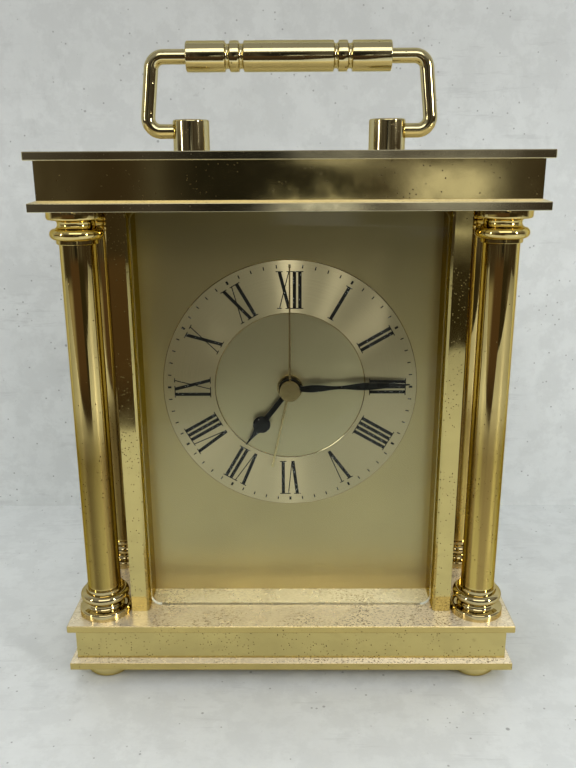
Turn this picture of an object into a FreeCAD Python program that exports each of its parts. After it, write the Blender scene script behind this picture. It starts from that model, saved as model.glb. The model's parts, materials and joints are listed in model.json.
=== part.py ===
import FreeCAD, Part
import math
import os

# A four-column brass clock with a swing handle, a quartz alarm movement and four hands.
# Millimetres. The origin is on the ground under the middle of the case, +X to the right of
# someone who reads the dial, +Y to the back and +Z up.

# Case
case_width = 127.0
case_depth = 49.0
foot_height = 5.0
foot_radius = 6.9
foot_sole_radius = 5.0
foot_neck_radius = 5.6
plate_edge = 2.1
ledge_width = 1.9
ledge_rise = 0.6
frieze_height = 9.4
frieze_wall = 1.6
opening_height = 114.6
edge_break = 0.2

# Columns, measured from the plate that each end meets
column_inset = 9.3
shaft_radius = 4.7
disc_radius = 7.4
disc_height = 2.2
disc_edge_round = 0.6
neck_radius = 4.8
neck_height = 2.2
bead_radius = 6.9
bead_height = 2.8
collar_radius = 5.35
collar_height = 1.1

# Tie rods and what they screw into
rod_radius = 1.5
rod_clearance = 0.15
foot_thread_depth = 3.4
boss_radius = 3.2
boss_thread_depth = 5.6

# Side panels, glass, dial and back
panel_thickness = 5.0
panel_inset = 17.1
panel_set_back = 8.0
panel_chamfer = 0.6
groove_depth = 1.4
groove_slack = 0.2
glass_set_back = 10.85
glass_thickness = 2.0
glass_side_gap = 0.2
glass_corner = 2.8
glass_bevel = 0.4
ring_set_back = 20.4
ring_thickness = 0.3
ring_side_gap = 5.3
ring_width = 14.9
dial_thickness = 1.0
hub_height = 83.9
back_thickness = 1.2
back_gap = 0.3
back_window_gap = 0.5
screw_head_radius = 2.2
screw_head_height = 1.2
screw_radius = 1.0
screw_length = 6.0
screw_clearance = 0.2
screw_from_end = 6.0
screw_slot = 0.5

# Handle
post_offset = 25.95
post_radius = 4.8
post_height = 8.2
post_edge_round = 0.5
pivot_rise = 5.3
pivot_pin_depth = 3.0
pivot_end_gap = 0.3
wire_radius = 1.85
bend_radius = 3.3
leg_foot_offset = 37.6
leg_head_offset = 35.5
grip_rise = 18.4
grip_radius = 3.8
grip_half_length = 26.5
grip_groove_at = 11.55
grip_groove_width = 1.3
grip_groove_depth = 0.8
grip_bead_width = 2.3
grip_chamfer = 0.3
post_screw_radius = 1.25
post_screw_head_radius = 2.4
post_screw_head_height = 1.3
post_screw_grip = 2.6

# Fits
running_clearance = 0.05
layer_gap = 0.4
overrun = 1.0

# Movement housing
housing_half_height = 28.0
bay_end_room = 1.55
housing_wall = 1.2
room_depth = 14.2
lid_thickness = 1.4
washer_thickness = 0.6
washer_radius = 9.0
neck_outer_radius = 3.0
nut_radius = 3.6
nut_height = 0.7
dial_hole_clearance = 0.1
battery_radius = 7.25
battery_length = 49.5
battery_nub_radius = 2.75
battery_nub_length = 1.0
battery_gap = 0.25
contact_thickness = 0.4
contact_width = 9.0
bay_floor_gap = 0.1
cover_screw_inset = 3.0
cover_screw_radius = 0.9
cover_screw_head_radius = 1.7
cover_screw_head_height = 0.8
cover_screw_length = 5.0
cover_post_radius = 2.0

# Going train
wheel_thickness = 0.8
arbor_radius = 0.5
train_distance = 8.1
rotor_pinion_teeth = 6
intermediate_teeth = 30
intermediate_pinion_teeth = 6
second_teeth = 36
second_pinion_teeth = 6
third_teeth = 45
third_pinion_teeth = 6
centre_teeth = 48
seconds_module = 0.3
second_arbor_radius = 0.5
intermediate_angle = 135.0
rotor_angle = 160.0
intermediate_post_radius = 0.3
third_angle = 0.0

# Hand-setting train
motion_distance = 6.8
cannon_teeth = 8
minute_work_teeth = 24
minute_pinion_teeth = 6
hour_teeth = 24
minute_work_angle = 200.0
set_pinion_angle = 190.0
motion_post_radius = 0.6

# Alarm train
alarm_distance = 9.0
alarm_teeth = 24
alarm_set_teeth = 16
alarm_set_angle = 90.0

# Pipes that carry the hands, one inside the next
pipe_wall = 0.5
cannon_stub_wall = 0.4
second_cap_radius = 2.85
second_cap_height = 1.4
minute_boss_radius = 3.1
hour_boss_radius = 3.0
alarm_boss_radius = 3.65
alarm_boss_height = 0.5
hand_thickness = 0.3
hand_gap = 0.6
alarm_gap = 0.2
second_gap = 0.9

# Hands
second_tip_gap = 1.1
second_width = 0.55
second_tip_width = 0.35
minute_tip_gap = 2.4
minute_width = 2.15
minute_angle = 87.6
hour_tip_gap = 0.2
hour_stem_width = 1.5
hour_bulb_radius = 2.5
hour_bulb_at = 13.4
hour_angle = 217.3
alarm_tip_reach = 3.4
alarm_width = 0.5
alarm_angle = 192.3

# Motor
magnet_radius = 2.5
magnet_length = 2.8
stator_thickness = 1.2
stator_air_gap = 0.5
stator_eye_wall = 1.0
stator_pad_radius = 2.2
stator_arm_width = 2.2
stator_elbow_drop = 6.5
coil_rise = 18.0
coil_end_gap = 4.8
coil_right = -2.0
coil_radius = 3.0
coil_flange = 0.8
coil_flange_radius = 3.5
coil_flange_inset = 2.6
core_half_width = 1.5
bobbin_wall = 0.4

# Bridge, board, sounder, switch and knobs
bridge_thickness = 1.0
bridge_left = -18.7
bridge_right = 17.5
bridge_low = -9.0
bridge_high = 12.4
pillar_radius = 1.8
pillar_screw_radius = 0.7
pillar_inset = 2.2
left_pillar_rise = 3.0
pillar_screw_length = 3.2
pillar_screw_head_radius = 1.4
bearing_boss_radius = 1.2
pivot_hole_depth = 0.7
board_side_gap = 5.8
board_width = 15.0
board_low = 15.0
board_high = 25.6
board_thickness = 0.8
board_rise = 3.0
chip_side = 6.0
chip_height = 0.9
crystal_radius = 1.0
crystal_length = 6.0
sounder_radius = 8.0
sounder_thickness = 0.6
sounder_side_gap = 10.3
sounder_z = 1.5
sound_hole_radius = 0.6
sound_hole_circle = 4.0
sound_hole_count = 6
switch_side_gap = 12.8
switch_z = 20.0
switch_travel = 3.5
switch_button_width = 3.0
switch_button_height = 4.0
switch_plate_margin = 2.2
switch_plate_thickness = 0.8
switch_proud = 1.6
switch_slack = 0.1
set_shaft_radius = 0.8
time_knob_radius = 6.5
alarm_knob_radius = 5.0
knob_length = 5.5
knob_gap = 0.4
knob_flute_count = 24
knob_flute_module = 0.4
knob_bore_depth = 4.6

# Shares of a gear module: tooth above and below the pitch circle, slack along the circle,
# and how far a flank leans over one module of height. At its root a tooth takes no more
# than root_pitch_share of its pitch.
tip_share = 0.75
root_share = 1.15
slack_share = 0.2
lean_share = 0.42
root_pitch_share = 0.9

front = -case_depth / 2
half_width = case_width / 2
column_x = half_width - column_inset
column_y = case_depth / 2 - column_inset
plate_full = plate_edge + ledge_rise
base_low = foot_height
base_frame_low = base_low + plate_full
base_plate_low = base_frame_low + frieze_height
floor_z = base_plate_low + plate_edge
ceiling_z = floor_z + opening_height
top_frame_low = ceiling_z + plate_full
cover_low = top_frame_low + frieze_height
cover_top = cover_low + plate_edge
panel_front = front + panel_set_back
panel_back = -panel_front
panel_outer_half = half_width - panel_inset
panel_inner_half = panel_outer_half - panel_thickness
ring_outer_radius = panel_inner_half - ring_side_gap
ring_inner_radius = ring_outer_radius - ring_width
second_length = ring_outer_radius - second_tip_gap
minute_length = ring_outer_radius - minute_tip_gap
hour_length = ring_inner_radius - hour_tip_gap
alarm_length = ring_inner_radius + alarm_tip_reach
glass_front = front + glass_set_back
ring_front = front + ring_set_back
dial_front = ring_front + ring_thickness
dial_back = dial_front + dial_thickness
housing_front = dial_back + washer_thickness
room_front = housing_front + housing_wall
lid_front = room_front + room_depth
lid_back = lid_front + lid_thickness
room_half = (battery_length + battery_nub_length) / 2 + bay_end_room
housing_half = room_half + housing_wall
coil_left = coil_end_gap - room_half
board_right = room_half - board_side_gap
board_left = board_right - board_width
sounder_x = room_half - sounder_side_gap
switch_x = room_half - switch_side_gap
pivot_z = cover_top + pivot_rise
grip_z = pivot_z + grip_rise

step = wheel_thickness + layer_gap
alarm_level = room_front + layer_gap
hour_level = alarm_level + step
motion_level = hour_level + step
centre_level = motion_level + step
third_level = centre_level + step + wheel_thickness
second_level = third_level + step
intermediate_level = second_level + step
bridge_level = intermediate_level + step + layer_gap

minute_pipe_bore = second_arbor_radius + running_clearance
minute_pipe_radius = minute_pipe_bore + pipe_wall
hour_pipe_bore = minute_pipe_radius + running_clearance
hour_pipe_radius = hour_pipe_bore + pipe_wall
alarm_pipe_bore = hour_pipe_radius + running_clearance
alarm_pipe_radius = alarm_pipe_bore + pipe_wall
neck_bore = alarm_pipe_radius + running_clearance
nut_front = dial_front - nut_height
alarm_hand_back = nut_front - alarm_gap
alarm_hand_front = alarm_hand_back - alarm_boss_height
hour_hand_back = alarm_hand_front - hand_gap
hour_hand_front = hour_hand_back - hand_thickness
minute_hand_back = hour_hand_front - hand_gap
minute_hand_front = minute_hand_back - hand_thickness
second_hand_back = minute_hand_front - second_gap
second_hand_front = second_hand_back - hand_thickness
second_cap_front = second_hand_back - second_cap_height

nodes = {}


def vec(x, y, z):
    return FreeCAD.Vector(x, y, z)


def box(x0, x1, y0, y1, z0, z1):
    return Part.makeBox(x1 - x0, y1 - y0, z1 - z0, vec(x0, y0, z0))


def rod_x(radius, y, z, x0, x1):
    return Part.makeCylinder(radius, x1 - x0, vec(x0, y, z), vec(1, 0, 0))


def rod_y(radius, x, z, y0, y1):
    return Part.makeCylinder(radius, y1 - y0, vec(x, y0, z), vec(0, 1, 0))


def rod_z(radius, x, y, z0, z1):
    return Part.makeCylinder(radius, z1 - z0, vec(x, y, z0))


def joined(first, *others):
    """One solid from solids that touch or overlap."""
    return first.fuse(list(others)).removeSplitter() if others else first


def prism_y(points, y0, y1):
    """Closed outline of (x, z) points, from y0 to y1."""
    corners = [vec(x, y0, z) for x, z in points]
    outline = Part.makePolygon(corners + corners[:1])
    return Part.Face(outline).extrude(vec(0, y1 - y0, 0))


def strip(a, b, width, y0, y1):
    """Straight bar of sheet between two (x, z) points."""
    length = math.hypot(b[0] - a[0], b[1] - a[1])
    nx = (b[1] - a[1]) / length * width / 2
    nz = (a[0] - b[0]) / length * width / 2
    return prism_y([(a[0] + nx, a[1] + nz), (b[0] + nx, b[1] + nz),
                    (b[0] - nx, b[1] - nz), (a[0] - nx, a[1] - nz)], y0, y1)


def around(radius, degrees, x=0, z=0):
    """Point at a clockwise angle from +Z, seen from the front."""
    turn = math.radians(degrees)
    return x + radius * math.sin(turn), z + radius * math.cos(turn)


def lathe(edges, centre, axis):
    """Solid turned from a closed chain of edges."""
    section = Part.Face(Part.Wire(edges))
    return section.revolve(centre, axis, 360)


def line(a, b):
    return Part.LineSegment(a, b).toShape()


def arc(a, middle, b):
    return Part.Arc(a, middle, b).toShape()


# Gears. Angles run clockwise from +Z, seen from the front, like the hands.
def gear_points(teeth, module, x, z, phase):
    pitch_radius = module * teeth / 2
    tip = pitch_radius + tip_share * module
    root = pitch_radius - root_share * module
    half_pitch_tooth = module * math.pi / 4 * (1 - slack_share)
    at_tip = math.degrees((half_pitch_tooth - tip_share * lean_share * module) / tip)
    at_root = math.degrees((half_pitch_tooth + root_share * lean_share * module) / root)
    at_root = min(at_root, root_pitch_share * 180 / teeth)
    points = []
    for i in range(teeth):
        middle = phase + i * 360 / teeth
        for radius, turn in ((root, -at_root), (tip, -at_tip), (tip, at_tip), (root, at_root)):
            points.append(around(radius, middle + turn, x, z))
    return points


def gear(teeth, module, x, z, y0, y1, phase):
    return prism_y(gear_points(teeth, module, x, z, phase), y0, y1)


def mesh_phase(driver_phase, driver_teeth, driven_teeth, direction):
    """Phase of the driven gear, whose centre lies in that direction from the driver's."""
    share = (direction - driver_phase) * driver_teeth / 360
    return direction + 180 - (0.5 - share) * 360 / driven_teeth


def hub_at(distance, degrees, x=0, z=hub_height):
    return around(distance, degrees, x, z)


def put(name, shape):
    nodes[name] = shape


def rod_places():
    return [(sx * column_x, sy * column_y) for sy in (-1, 1) for sx in (-1, 1)]


# Case blocks
def ledge_plate(low):
    """Plate with a low slope on top, from its edge in to the frieze that stands on it."""
    rim = low + plate_edge
    plate = box(-half_width, half_width, front, -front, low, rim)
    wires = []
    for inset, z in ((0, rim), (ledge_width, rim + ledge_rise)):
        x, y = half_width - inset, -front - inset
        corners = [vec(-x, -y, z), vec(x, -y, z), vec(x, y, z), vec(-x, y, z)]
        wires.append(Part.makePolygon(corners + corners[:1]))
    return joined(plate, Part.makeLoft(wires, True, True))


def drilled(plate, low, high):
    for x, y in rod_places():
        hole = rod_z(rod_radius + rod_clearance, x, y, low - overrun, high + overrun)
        plate = plate.cut(hole)
    return plate


def frieze(low):
    x, y, wall = half_width - ledge_width, -front - ledge_width, frieze_wall
    high = low + frieze_height
    inner = box(wall - x, x - wall, wall - y, y - wall, low - overrun, high + overrun)
    return box(-x, x, -y, y, low, high).cut(inner)


def flat_plate(low):
    plate = box(-half_width, half_width, front, -front, low, low + plate_edge)
    return plate.makeChamfer(edge_break, plate.Edges)


put("base_bottom_plate", drilled(ledge_plate(base_low), base_low, base_frame_low))
put("base_frame", frieze(base_frame_low))
put("base_top_plate", drilled(flat_plate(base_plate_low), base_plate_low, floor_z))
put("top_lower_plate", drilled(ledge_plate(ceiling_z), ceiling_z, top_frame_low))
put("top_frame", frieze(top_frame_low))


# Columns, rods and feet
def column_end(x, low, sign):
    """Points and arcs of one turned end, from the plate at z = low towards the shaft."""
    def at(radius, rise):
        return vec(x + radius, 0, low + sign * rise)

    disc_top = disc_height
    neck_top = disc_top + neck_height
    bead_top = neck_top + bead_height
    collar_top = bead_top + collar_height
    quarter = disc_edge_round * (1 - math.sqrt(0.5))
    disc_inner = disc_radius - disc_edge_round
    neck_middle = disc_top + neck_height / 2
    bead_root = bead_radius - bead_height / 2
    bead_middle = neck_top + bead_height / 2
    neck_mouth = bead_root
    return [
        line(at(0, 0), at(disc_radius, 0)),
        line(at(disc_radius, 0), at(disc_radius, disc_top - disc_edge_round)),
        arc(at(disc_radius, disc_top - disc_edge_round), at(disc_radius - quarter, disc_top - quarter),
            at(disc_inner, disc_top)),
        line(at(disc_inner, disc_top), at(neck_mouth, disc_top)),
        arc(at(neck_mouth, disc_top), at(neck_radius, neck_middle), at(neck_mouth, neck_top)),
        arc(at(bead_root, neck_top), at(bead_radius, bead_middle), at(bead_root, bead_top)),
        line(at(bead_root, bead_top), at(collar_radius, bead_top)),
        line(at(collar_radius, bead_top), at(collar_radius, collar_top)),
        line(at(collar_radius, collar_top), at(shaft_radius, collar_top)),
    ], collar_top


def column(x, y):
    lower, rise = column_end(0, floor_z, 1)
    upper, rise = column_end(0, ceiling_z, -1)
    shaft = line(vec(shaft_radius, 0, floor_z + rise), vec(shaft_radius, 0, ceiling_z - rise))
    axis_line = line(vec(0, 0, ceiling_z), vec(0, 0, floor_z))
    body = lathe(lower + [shaft] + upper[::-1] + [axis_line], vec(0, 0, 0), vec(0, 0, 1))
    body.translate(vec(x, y, 0))
    bore = rod_z(rod_radius + rod_clearance, x, y, floor_z - overrun, ceiling_z + overrun)
    return body.cut(bore)


column_names = ("front_left", "front_right", "rear_left", "rear_right")
for name, (x, y) in zip(column_names, rod_places()):
    put("column_" + name, column(x, y))

rod_low = foot_height - foot_thread_depth
rod_high = top_frame_low + boss_thread_depth


def foot(x, y):
    middle = foot_height / 2
    edges = [
        line(vec(0, 0, 0), vec(foot_sole_radius, 0, 0)),
        arc(vec(foot_sole_radius, 0, 0), vec(foot_radius, 0, middle),
            vec(foot_neck_radius, 0, foot_height)),
        line(vec(foot_neck_radius, 0, foot_height), vec(0, 0, foot_height)),
        line(vec(0, 0, foot_height), vec(0, 0, 0)),
    ]
    bun = lathe(edges, vec(0, 0, 0), vec(0, 0, 1))
    bun.translate(vec(x, y, 0))
    return bun.cut(rod_z(rod_radius, x, y, rod_low, foot_height + overrun))


def threaded_boss(x, y):
    boss = rod_z(boss_radius, x, y, top_frame_low, cover_low)
    return boss.cut(rod_z(rod_radius, x, y, top_frame_low - overrun, rod_high))


put("feet", Part.makeCompound([foot(x, y) for x, y in rod_places()]))
put("tie_rods", Part.makeCompound([rod_z(rod_radius, x, y, rod_low, rod_high) for x, y in rod_places()]))
put("threaded_bosses", Part.makeCompound([threaded_boss(x, y) for x, y in rod_places()]))


# Side panels, glass, dial and back
def back_screw_places():
    x = (panel_inner_half + panel_outer_half) / 2
    return [(sx * x, z) for sx in (-1, 1) for z in (floor_z + screw_from_end, ceiling_z - screw_from_end)]


def side_panel(side):
    """Panel with a chamfered front edge and a groove that holds the dial."""
    inner, outer = panel_inner_half, panel_outer_half
    c, g = panel_chamfer, groove_depth
    outline = [
        (inner + c, panel_front), (outer, panel_front), (outer, panel_back), (inner, panel_back),
        (inner, dial_back), (inner + g, dial_back), (inner + g, dial_front), (inner, dial_front),
        (inner, panel_front + c),
    ]
    corners = [vec(side * x, y, floor_z) for x, y in outline]
    panel = Part.Face(Part.makePolygon(corners + corners[:1])).extrude(vec(0, 0, opening_height))
    for x, z in back_screw_places():
        if x * side > 0:
            panel = panel.cut(rod_y(screw_radius, x, z, panel_back - screw_length, panel_back + overrun))
    return panel


def rounded_pane(half, low, high, y0, y1, corner):
    pane = box(-half, half, y0, y1, low, high)
    upright = [e for e in pane.Edges if abs(e.tangentAt(e.FirstParameter).y) > 0.5]
    return pane.makeFillet(corner, upright)


def glass():
    y1 = glass_front + glass_thickness
    half = panel_inner_half - glass_side_gap
    pane = rounded_pane(half, floor_z, ceiling_z, glass_front, y1, glass_corner)
    face = min(pane.Faces, key=lambda f: f.CenterOfMass.y)
    return pane.makeChamfer(glass_bevel, face.Edges)


def dial():
    half = panel_inner_half + groove_depth - groove_slack
    plate = box(-half, half, dial_front, dial_back, floor_z, ceiling_z)
    hole = neck_outer_radius + dial_hole_clearance
    return plate.cut(rod_y(hole, 0, hub_height, dial_front - overrun, dial_back + overrun))


def chapter_ring():
    disc = rod_y(ring_outer_radius, 0, hub_height, ring_front, dial_front)
    return disc.cut(rod_y(ring_inner_radius, 0, hub_height, ring_front - overrun, dial_front + overrun))


def back_panel():
    y0, y1 = panel_back, panel_back + back_thickness
    half, window = panel_outer_half, housing_half + back_window_gap
    rise = housing_half_height + back_window_gap
    sheet = box(-half, half, y0, y1, floor_z + back_gap, ceiling_z - back_gap)
    low, high = hub_height - rise, hub_height + rise
    sheet = sheet.cut(box(-window, window, y0 - overrun, y1 + overrun, low, high))
    for x, z in back_screw_places():
        sheet = sheet.cut(rod_y(screw_radius + screw_clearance, x, z, y0 - overrun, y1 + overrun))
    return sheet


def slotted_screw(x, z, seat, head_radius, head_height, radius, length):
    """Screw along Y, its head on the seat and its shank in front of it."""
    head = rod_y(head_radius, x, z, seat, seat + head_height)
    slot = box(x - head_radius, x + head_radius, seat + head_height / 2, seat + head_height + overrun,
               z - screw_slot / 2, z + screw_slot / 2)
    return joined(head.cut(slot), rod_y(radius, x, z, seat - length, seat))


put("side_panel_left", side_panel(-1))
put("side_panel_right", side_panel(1))
put("glass_pane", glass())
put("dial_plate", dial())
put("chapter_ring", chapter_ring())
put("back_panel", back_panel())
put("back_panel_screws", Part.makeCompound([
    slotted_screw(x, z, panel_back + back_thickness, screw_head_radius, screw_head_height, screw_radius,
                  screw_length) for x, z in back_screw_places()]))


# Handle
def cover_plate():
    plate = flat_plate(cover_low)
    for side in (-1, 1):
        hole = rod_z(post_screw_radius, side * post_offset, 0, cover_low - overrun, cover_top + overrun)
        plate = plate.cut(hole)
    return plate


def handle_post(side):
    x = side * post_offset
    post = rod_z(post_radius, x, 0, cover_top, cover_top + post_height)
    rim = max(post.Edges, key=lambda e: e.CenterOfMass.z)
    post = post.makeFillet(post_edge_round, [rim])
    inner = post_offset - pivot_pin_depth - pivot_end_gap
    ends = sorted((side * inner, side * (post_offset + post_radius + overrun)))
    post = post.cut(rod_x(wire_radius + running_clearance, 0, pivot_z, ends[0], ends[1]))
    return post.cut(rod_z(post_screw_radius, x, 0, cover_top - overrun, cover_top + post_screw_grip))


def post_screw(side):
    x = side * post_offset
    head = rod_z(post_screw_head_radius, x, 0, cover_low - post_screw_head_height, cover_low)
    return joined(head, rod_z(post_screw_radius, x, 0, cover_low, cover_top + post_screw_grip))


def bail():
    """Wire bent round four corners, from one pivot pin to the other."""
    pin = post_offset - pivot_pin_depth
    corners = [
        vec(-pin, 0, pivot_z), vec(-leg_foot_offset, 0, pivot_z), vec(-leg_head_offset, 0, grip_z),
        vec(leg_head_offset, 0, grip_z), vec(leg_foot_offset, 0, pivot_z), vec(pin, 0, pivot_z),
    ]
    edges, start = [], corners[0]
    for before, corner, after in zip(corners, corners[1:], corners[2:]):
        u = (before - corner).normalize()
        v = (after - corner).normalize()
        half_angle = u.getAngle(v) / 2
        a = corner + u * (bend_radius / math.tan(half_angle))
        b = corner + v * (bend_radius / math.tan(half_angle))
        centre = corner + (u + v).normalize() * (bend_radius / math.sin(half_angle))
        middle = centre + (corner - centre).normalize() * bend_radius
        edges += [line(start, a), arc(a, middle, b)]
        start = b
    edges.append(line(start, corners[-1]))
    path = Part.Wire(edges)
    profile = Part.Wire([Part.Circle(corners[0], vec(1, 0, 0), wire_radius).toShape()])
    return path.makePipeShell([profile], True, False)


def grip():
    """Turned sleeve with a bead between two round grooves near each end."""
    def at(x, radius):
        return vec(x, 0, grip_z + radius)

    def groove(x0, x1):
        floor = at((x0 + x1) / 2, grip_radius - grip_groove_depth)
        return arc(at(x0, grip_radius), floor, at(x1, grip_radius))

    bead_start = grip_groove_at + grip_groove_width
    bead_end = bead_start + grip_bead_width
    last = bead_end + grip_groove_width
    end, bore = grip_half_length, wire_radius + running_clearance
    rim = end - grip_chamfer
    low = grip_radius - grip_chamfer
    edges = [
        line(at(-end, bore), at(-end, low)),
        line(at(-end, low), at(-rim, grip_radius)),
        line(at(-rim, grip_radius), at(-last, grip_radius)),
        groove(-last, -bead_end),
        line(at(-bead_end, grip_radius), at(-bead_start, grip_radius)),
        groove(-bead_start, -grip_groove_at),
        line(at(-grip_groove_at, grip_radius), at(grip_groove_at, grip_radius)),
        groove(grip_groove_at, bead_start),
        line(at(bead_start, grip_radius), at(bead_end, grip_radius)),
        groove(bead_end, last),
        line(at(last, grip_radius), at(rim, grip_radius)),
        line(at(rim, grip_radius), at(end, low)),
        line(at(end, low), at(end, bore)),
        line(at(end, bore), at(-end, bore)),
    ]
    return lathe(edges, vec(0, 0, grip_z), vec(1, 0, 0))


put("top_cover_plate", cover_plate())
put("handle_post_left", handle_post(-1))
put("handle_post_right", handle_post(1))
put("handle_post_screws", Part.makeCompound([post_screw(-1), post_screw(1)]))
put("handle_bail", bail())
put("handle_grip", grip())


# Places of the arbors
third_module = 2 * train_distance / (second_pinion_teeth + third_teeth)
centre_module = 2 * train_distance / (third_pinion_teeth + centre_teeth)
motion_module = 2 * motion_distance / (cannon_teeth + minute_work_teeth)
hour_module = 2 * motion_distance / (minute_pinion_teeth + hour_teeth)
alarm_module = 2 * alarm_distance / (alarm_teeth + alarm_set_teeth)
intermediate_distance = seconds_module * (intermediate_pinion_teeth + second_teeth) / 2
rotor_distance = seconds_module * (rotor_pinion_teeth + intermediate_teeth) / 2
clock_third = 90 - third_angle
clock_intermediate = 90 - intermediate_angle
clock_rotor = 90 - rotor_angle
clock_minute_work = 90 - minute_work_angle
clock_set_pinion = 90 - set_pinion_angle
clock_alarm_set = 90 - alarm_set_angle
third_at = hub_at(train_distance, clock_third)
intermediate_at = hub_at(intermediate_distance, clock_intermediate)
rotor_at = hub_at(rotor_distance, clock_rotor, *intermediate_at)
minute_work_at = hub_at(motion_distance, clock_minute_work)
time_set_at = hub_at(motion_distance, clock_set_pinion, *minute_work_at)
alarm_set_at = hub_at(alarm_distance, clock_alarm_set)
bay_low = hub_height - housing_half_height + housing_wall
bay_high = bay_low + 2 * (battery_radius + battery_gap)
room_low = bay_high + housing_wall
room_high = hub_height + housing_half_height - housing_wall
battery_y = room_front + bay_floor_gap + battery_radius
battery_z = (bay_low + bay_high) / 2


# Housing
def cover_screw_places():
    x = room_half - cover_screw_inset
    return [(-x, room_low + cover_screw_inset), (x, room_low + cover_screw_inset),
            (-x, room_high - cover_screw_inset), (x, room_high - cover_screw_inset)]


def pillar_places():
    low, high = hub_height + bridge_low + pillar_inset, hub_height + bridge_high - pillar_inset
    return [(bridge_right - pillar_inset, low), (bridge_right - pillar_inset, high),
            (bridge_left + pillar_inset, hub_height + left_pillar_rise)]


def housing():
    """Moulded tray with a gear room, a battery bay, bearings, posts and a threaded neck."""
    low, high = hub_height - housing_half_height, hub_height + housing_half_height
    shell = box(-housing_half, housing_half, housing_front, lid_front, low, high)
    shell = shell.cut(box(-room_half, room_half, room_front, lid_front + overrun, room_low, room_high))
    shell = shell.cut(box(-room_half, room_half, room_front, lid_front + overrun, bay_low, bay_high))
    shell = joined(shell, rod_y(neck_outer_radius, 0, hub_height, nut_front, housing_front))
    posts = [rod_y(cover_post_radius, x, z, room_front, lid_front) for x, z in cover_screw_places()]
    posts += [rod_y(pillar_radius, x, z, room_front, bridge_level) for x, z in pillar_places()]
    posts.append(rod_y(bearing_boss_radius, *third_at, room_front, motion_level - layer_gap))
    posts.append(rod_y(bearing_boss_radius, *rotor_at, room_front, centre_level - layer_gap))
    posts.append(rod_y(motion_post_radius, *minute_work_at, room_front, motion_level + wheel_thickness))
    posts += board_posts()
    shell = joined(shell, *posts)
    pivots = [
        rod_y(neck_bore, 0, hub_height, nut_front - overrun, room_front + overrun),
        rod_y(arbor_radius + running_clearance, *third_at, motion_level - layer_gap - pivot_hole_depth,
              motion_level),
        rod_y(arbor_radius + running_clearance, *rotor_at, centre_level - layer_gap - pivot_hole_depth,
              centre_level),
        rod_y(set_shaft_radius + running_clearance, *time_set_at, room_front - pivot_hole_depth,
              room_front + overrun),
        rod_y(set_shaft_radius + running_clearance, *alarm_set_at, room_front - pivot_hole_depth,
              room_front + overrun),
    ]
    pivots += [rod_y(cover_screw_radius, x, z, lid_front - cover_screw_length, lid_front + overrun)
               for x, z in cover_screw_places()]
    pivots += [rod_y(pillar_screw_radius, x, z, bridge_level - pillar_screw_length + bridge_thickness,
                     bridge_level + overrun) for x, z in pillar_places()]
    for hole in pivots:
        shell = shell.cut(hole)
    return shell


def board_post_places():
    inset = pillar_radius
    z = hub_height + board_high - inset
    return [(board_left + inset, z), (board_right - inset, z)]


def board_posts():
    return [rod_y(pillar_radius, x, z, room_front, room_front + board_rise) for x, z in board_post_places()]


def lid():
    """Cover of the gear room, with bearings for the knobs, a switch slot and sound holes."""
    low, high = bay_high, hub_height + housing_half_height
    cover = box(-housing_half, housing_half, lid_front, lid_back, low, high)
    y0, y1 = lid_front - overrun, lid_back + overrun
    hole = set_shaft_radius + running_clearance
    cuts = [rod_y(hole, *time_set_at, y0, y1), rod_y(hole, *alarm_set_at, y0, y1)]
    cuts += [rod_y(cover_screw_radius, x, z, y0, y1) for x, z in cover_screw_places()]
    middle = hub_height + switch_z
    cuts.append(box(switch_x - switch_button_width / 2 - switch_slack,
                    switch_x + switch_travel + switch_button_width / 2 + switch_slack, y0, y1,
                    middle - switch_button_height / 2 - switch_slack,
                    middle + switch_button_height / 2 + switch_slack))
    cuts.append(rod_y(sound_hole_radius, sounder_x, hub_height + sounder_z, y0, y1))
    for i in range(sound_hole_count):
        turn = i * 360 / sound_hole_count
        at = hub_at(sound_hole_circle, turn, sounder_x, hub_height + sounder_z)
        cuts.append(rod_y(sound_hole_radius, *at, y0, y1))
    for item in cuts:
        cover = cover.cut(item)
    return cover


def bridge():
    """Plate behind the train. It carries the arbors' rear pivots and the intermediate wheel's post."""
    y0, y1 = bridge_level, bridge_level + bridge_thickness
    plate = box(bridge_left, bridge_right, y0, y1, hub_height + bridge_low, hub_height + bridge_high)
    post = rod_y(intermediate_post_radius, *intermediate_at, second_level, y0)
    plate = joined(plate, post)
    hole = arbor_radius + running_clearance
    places = [(0, hub_height), third_at, rotor_at]
    cuts = [rod_y(hole, x, z, y0 - overrun, y1 + overrun) for x, z in places]
    cuts += [rod_y(set_shaft_radius + running_clearance, *at, y0 - overrun, y1 + overrun)
             for at in (time_set_at, alarm_set_at)]
    cuts += [rod_y(pillar_screw_radius, x, z, y0 - overrun, y1 + overrun) for x, z in pillar_places()]
    for item in cuts:
        plate = plate.cut(item)
    return plate


def washer():
    ring = rod_y(washer_radius, 0, hub_height, dial_back, housing_front)
    return ring.cut(rod_y(neck_outer_radius, 0, hub_height, dial_back - overrun, housing_front + overrun))


def dial_nut():
    nut = rod_y(nut_radius, 0, hub_height, nut_front, dial_front)
    return nut.cut(rod_y(neck_outer_radius, 0, hub_height, nut_front - overrun, dial_front + overrun))


put("movement_housing", housing())
put("movement_lid", lid())
put("movement_lid_screws", Part.makeCompound([
    slotted_screw(x, z, lid_back, cover_screw_head_radius, cover_screw_head_height, cover_screw_radius,
                  cover_screw_length) for x, z in cover_screw_places()]))
put("train_bridge", bridge())
put("bridge_screws", Part.makeCompound([
    slotted_screw(x, z, bridge_level + bridge_thickness, pillar_screw_head_radius, cover_screw_head_height,
                  pillar_screw_radius, pillar_screw_length) for x, z in pillar_places()]))
put("rubber_washer", washer())
put("dial_nut", dial_nut())


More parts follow.
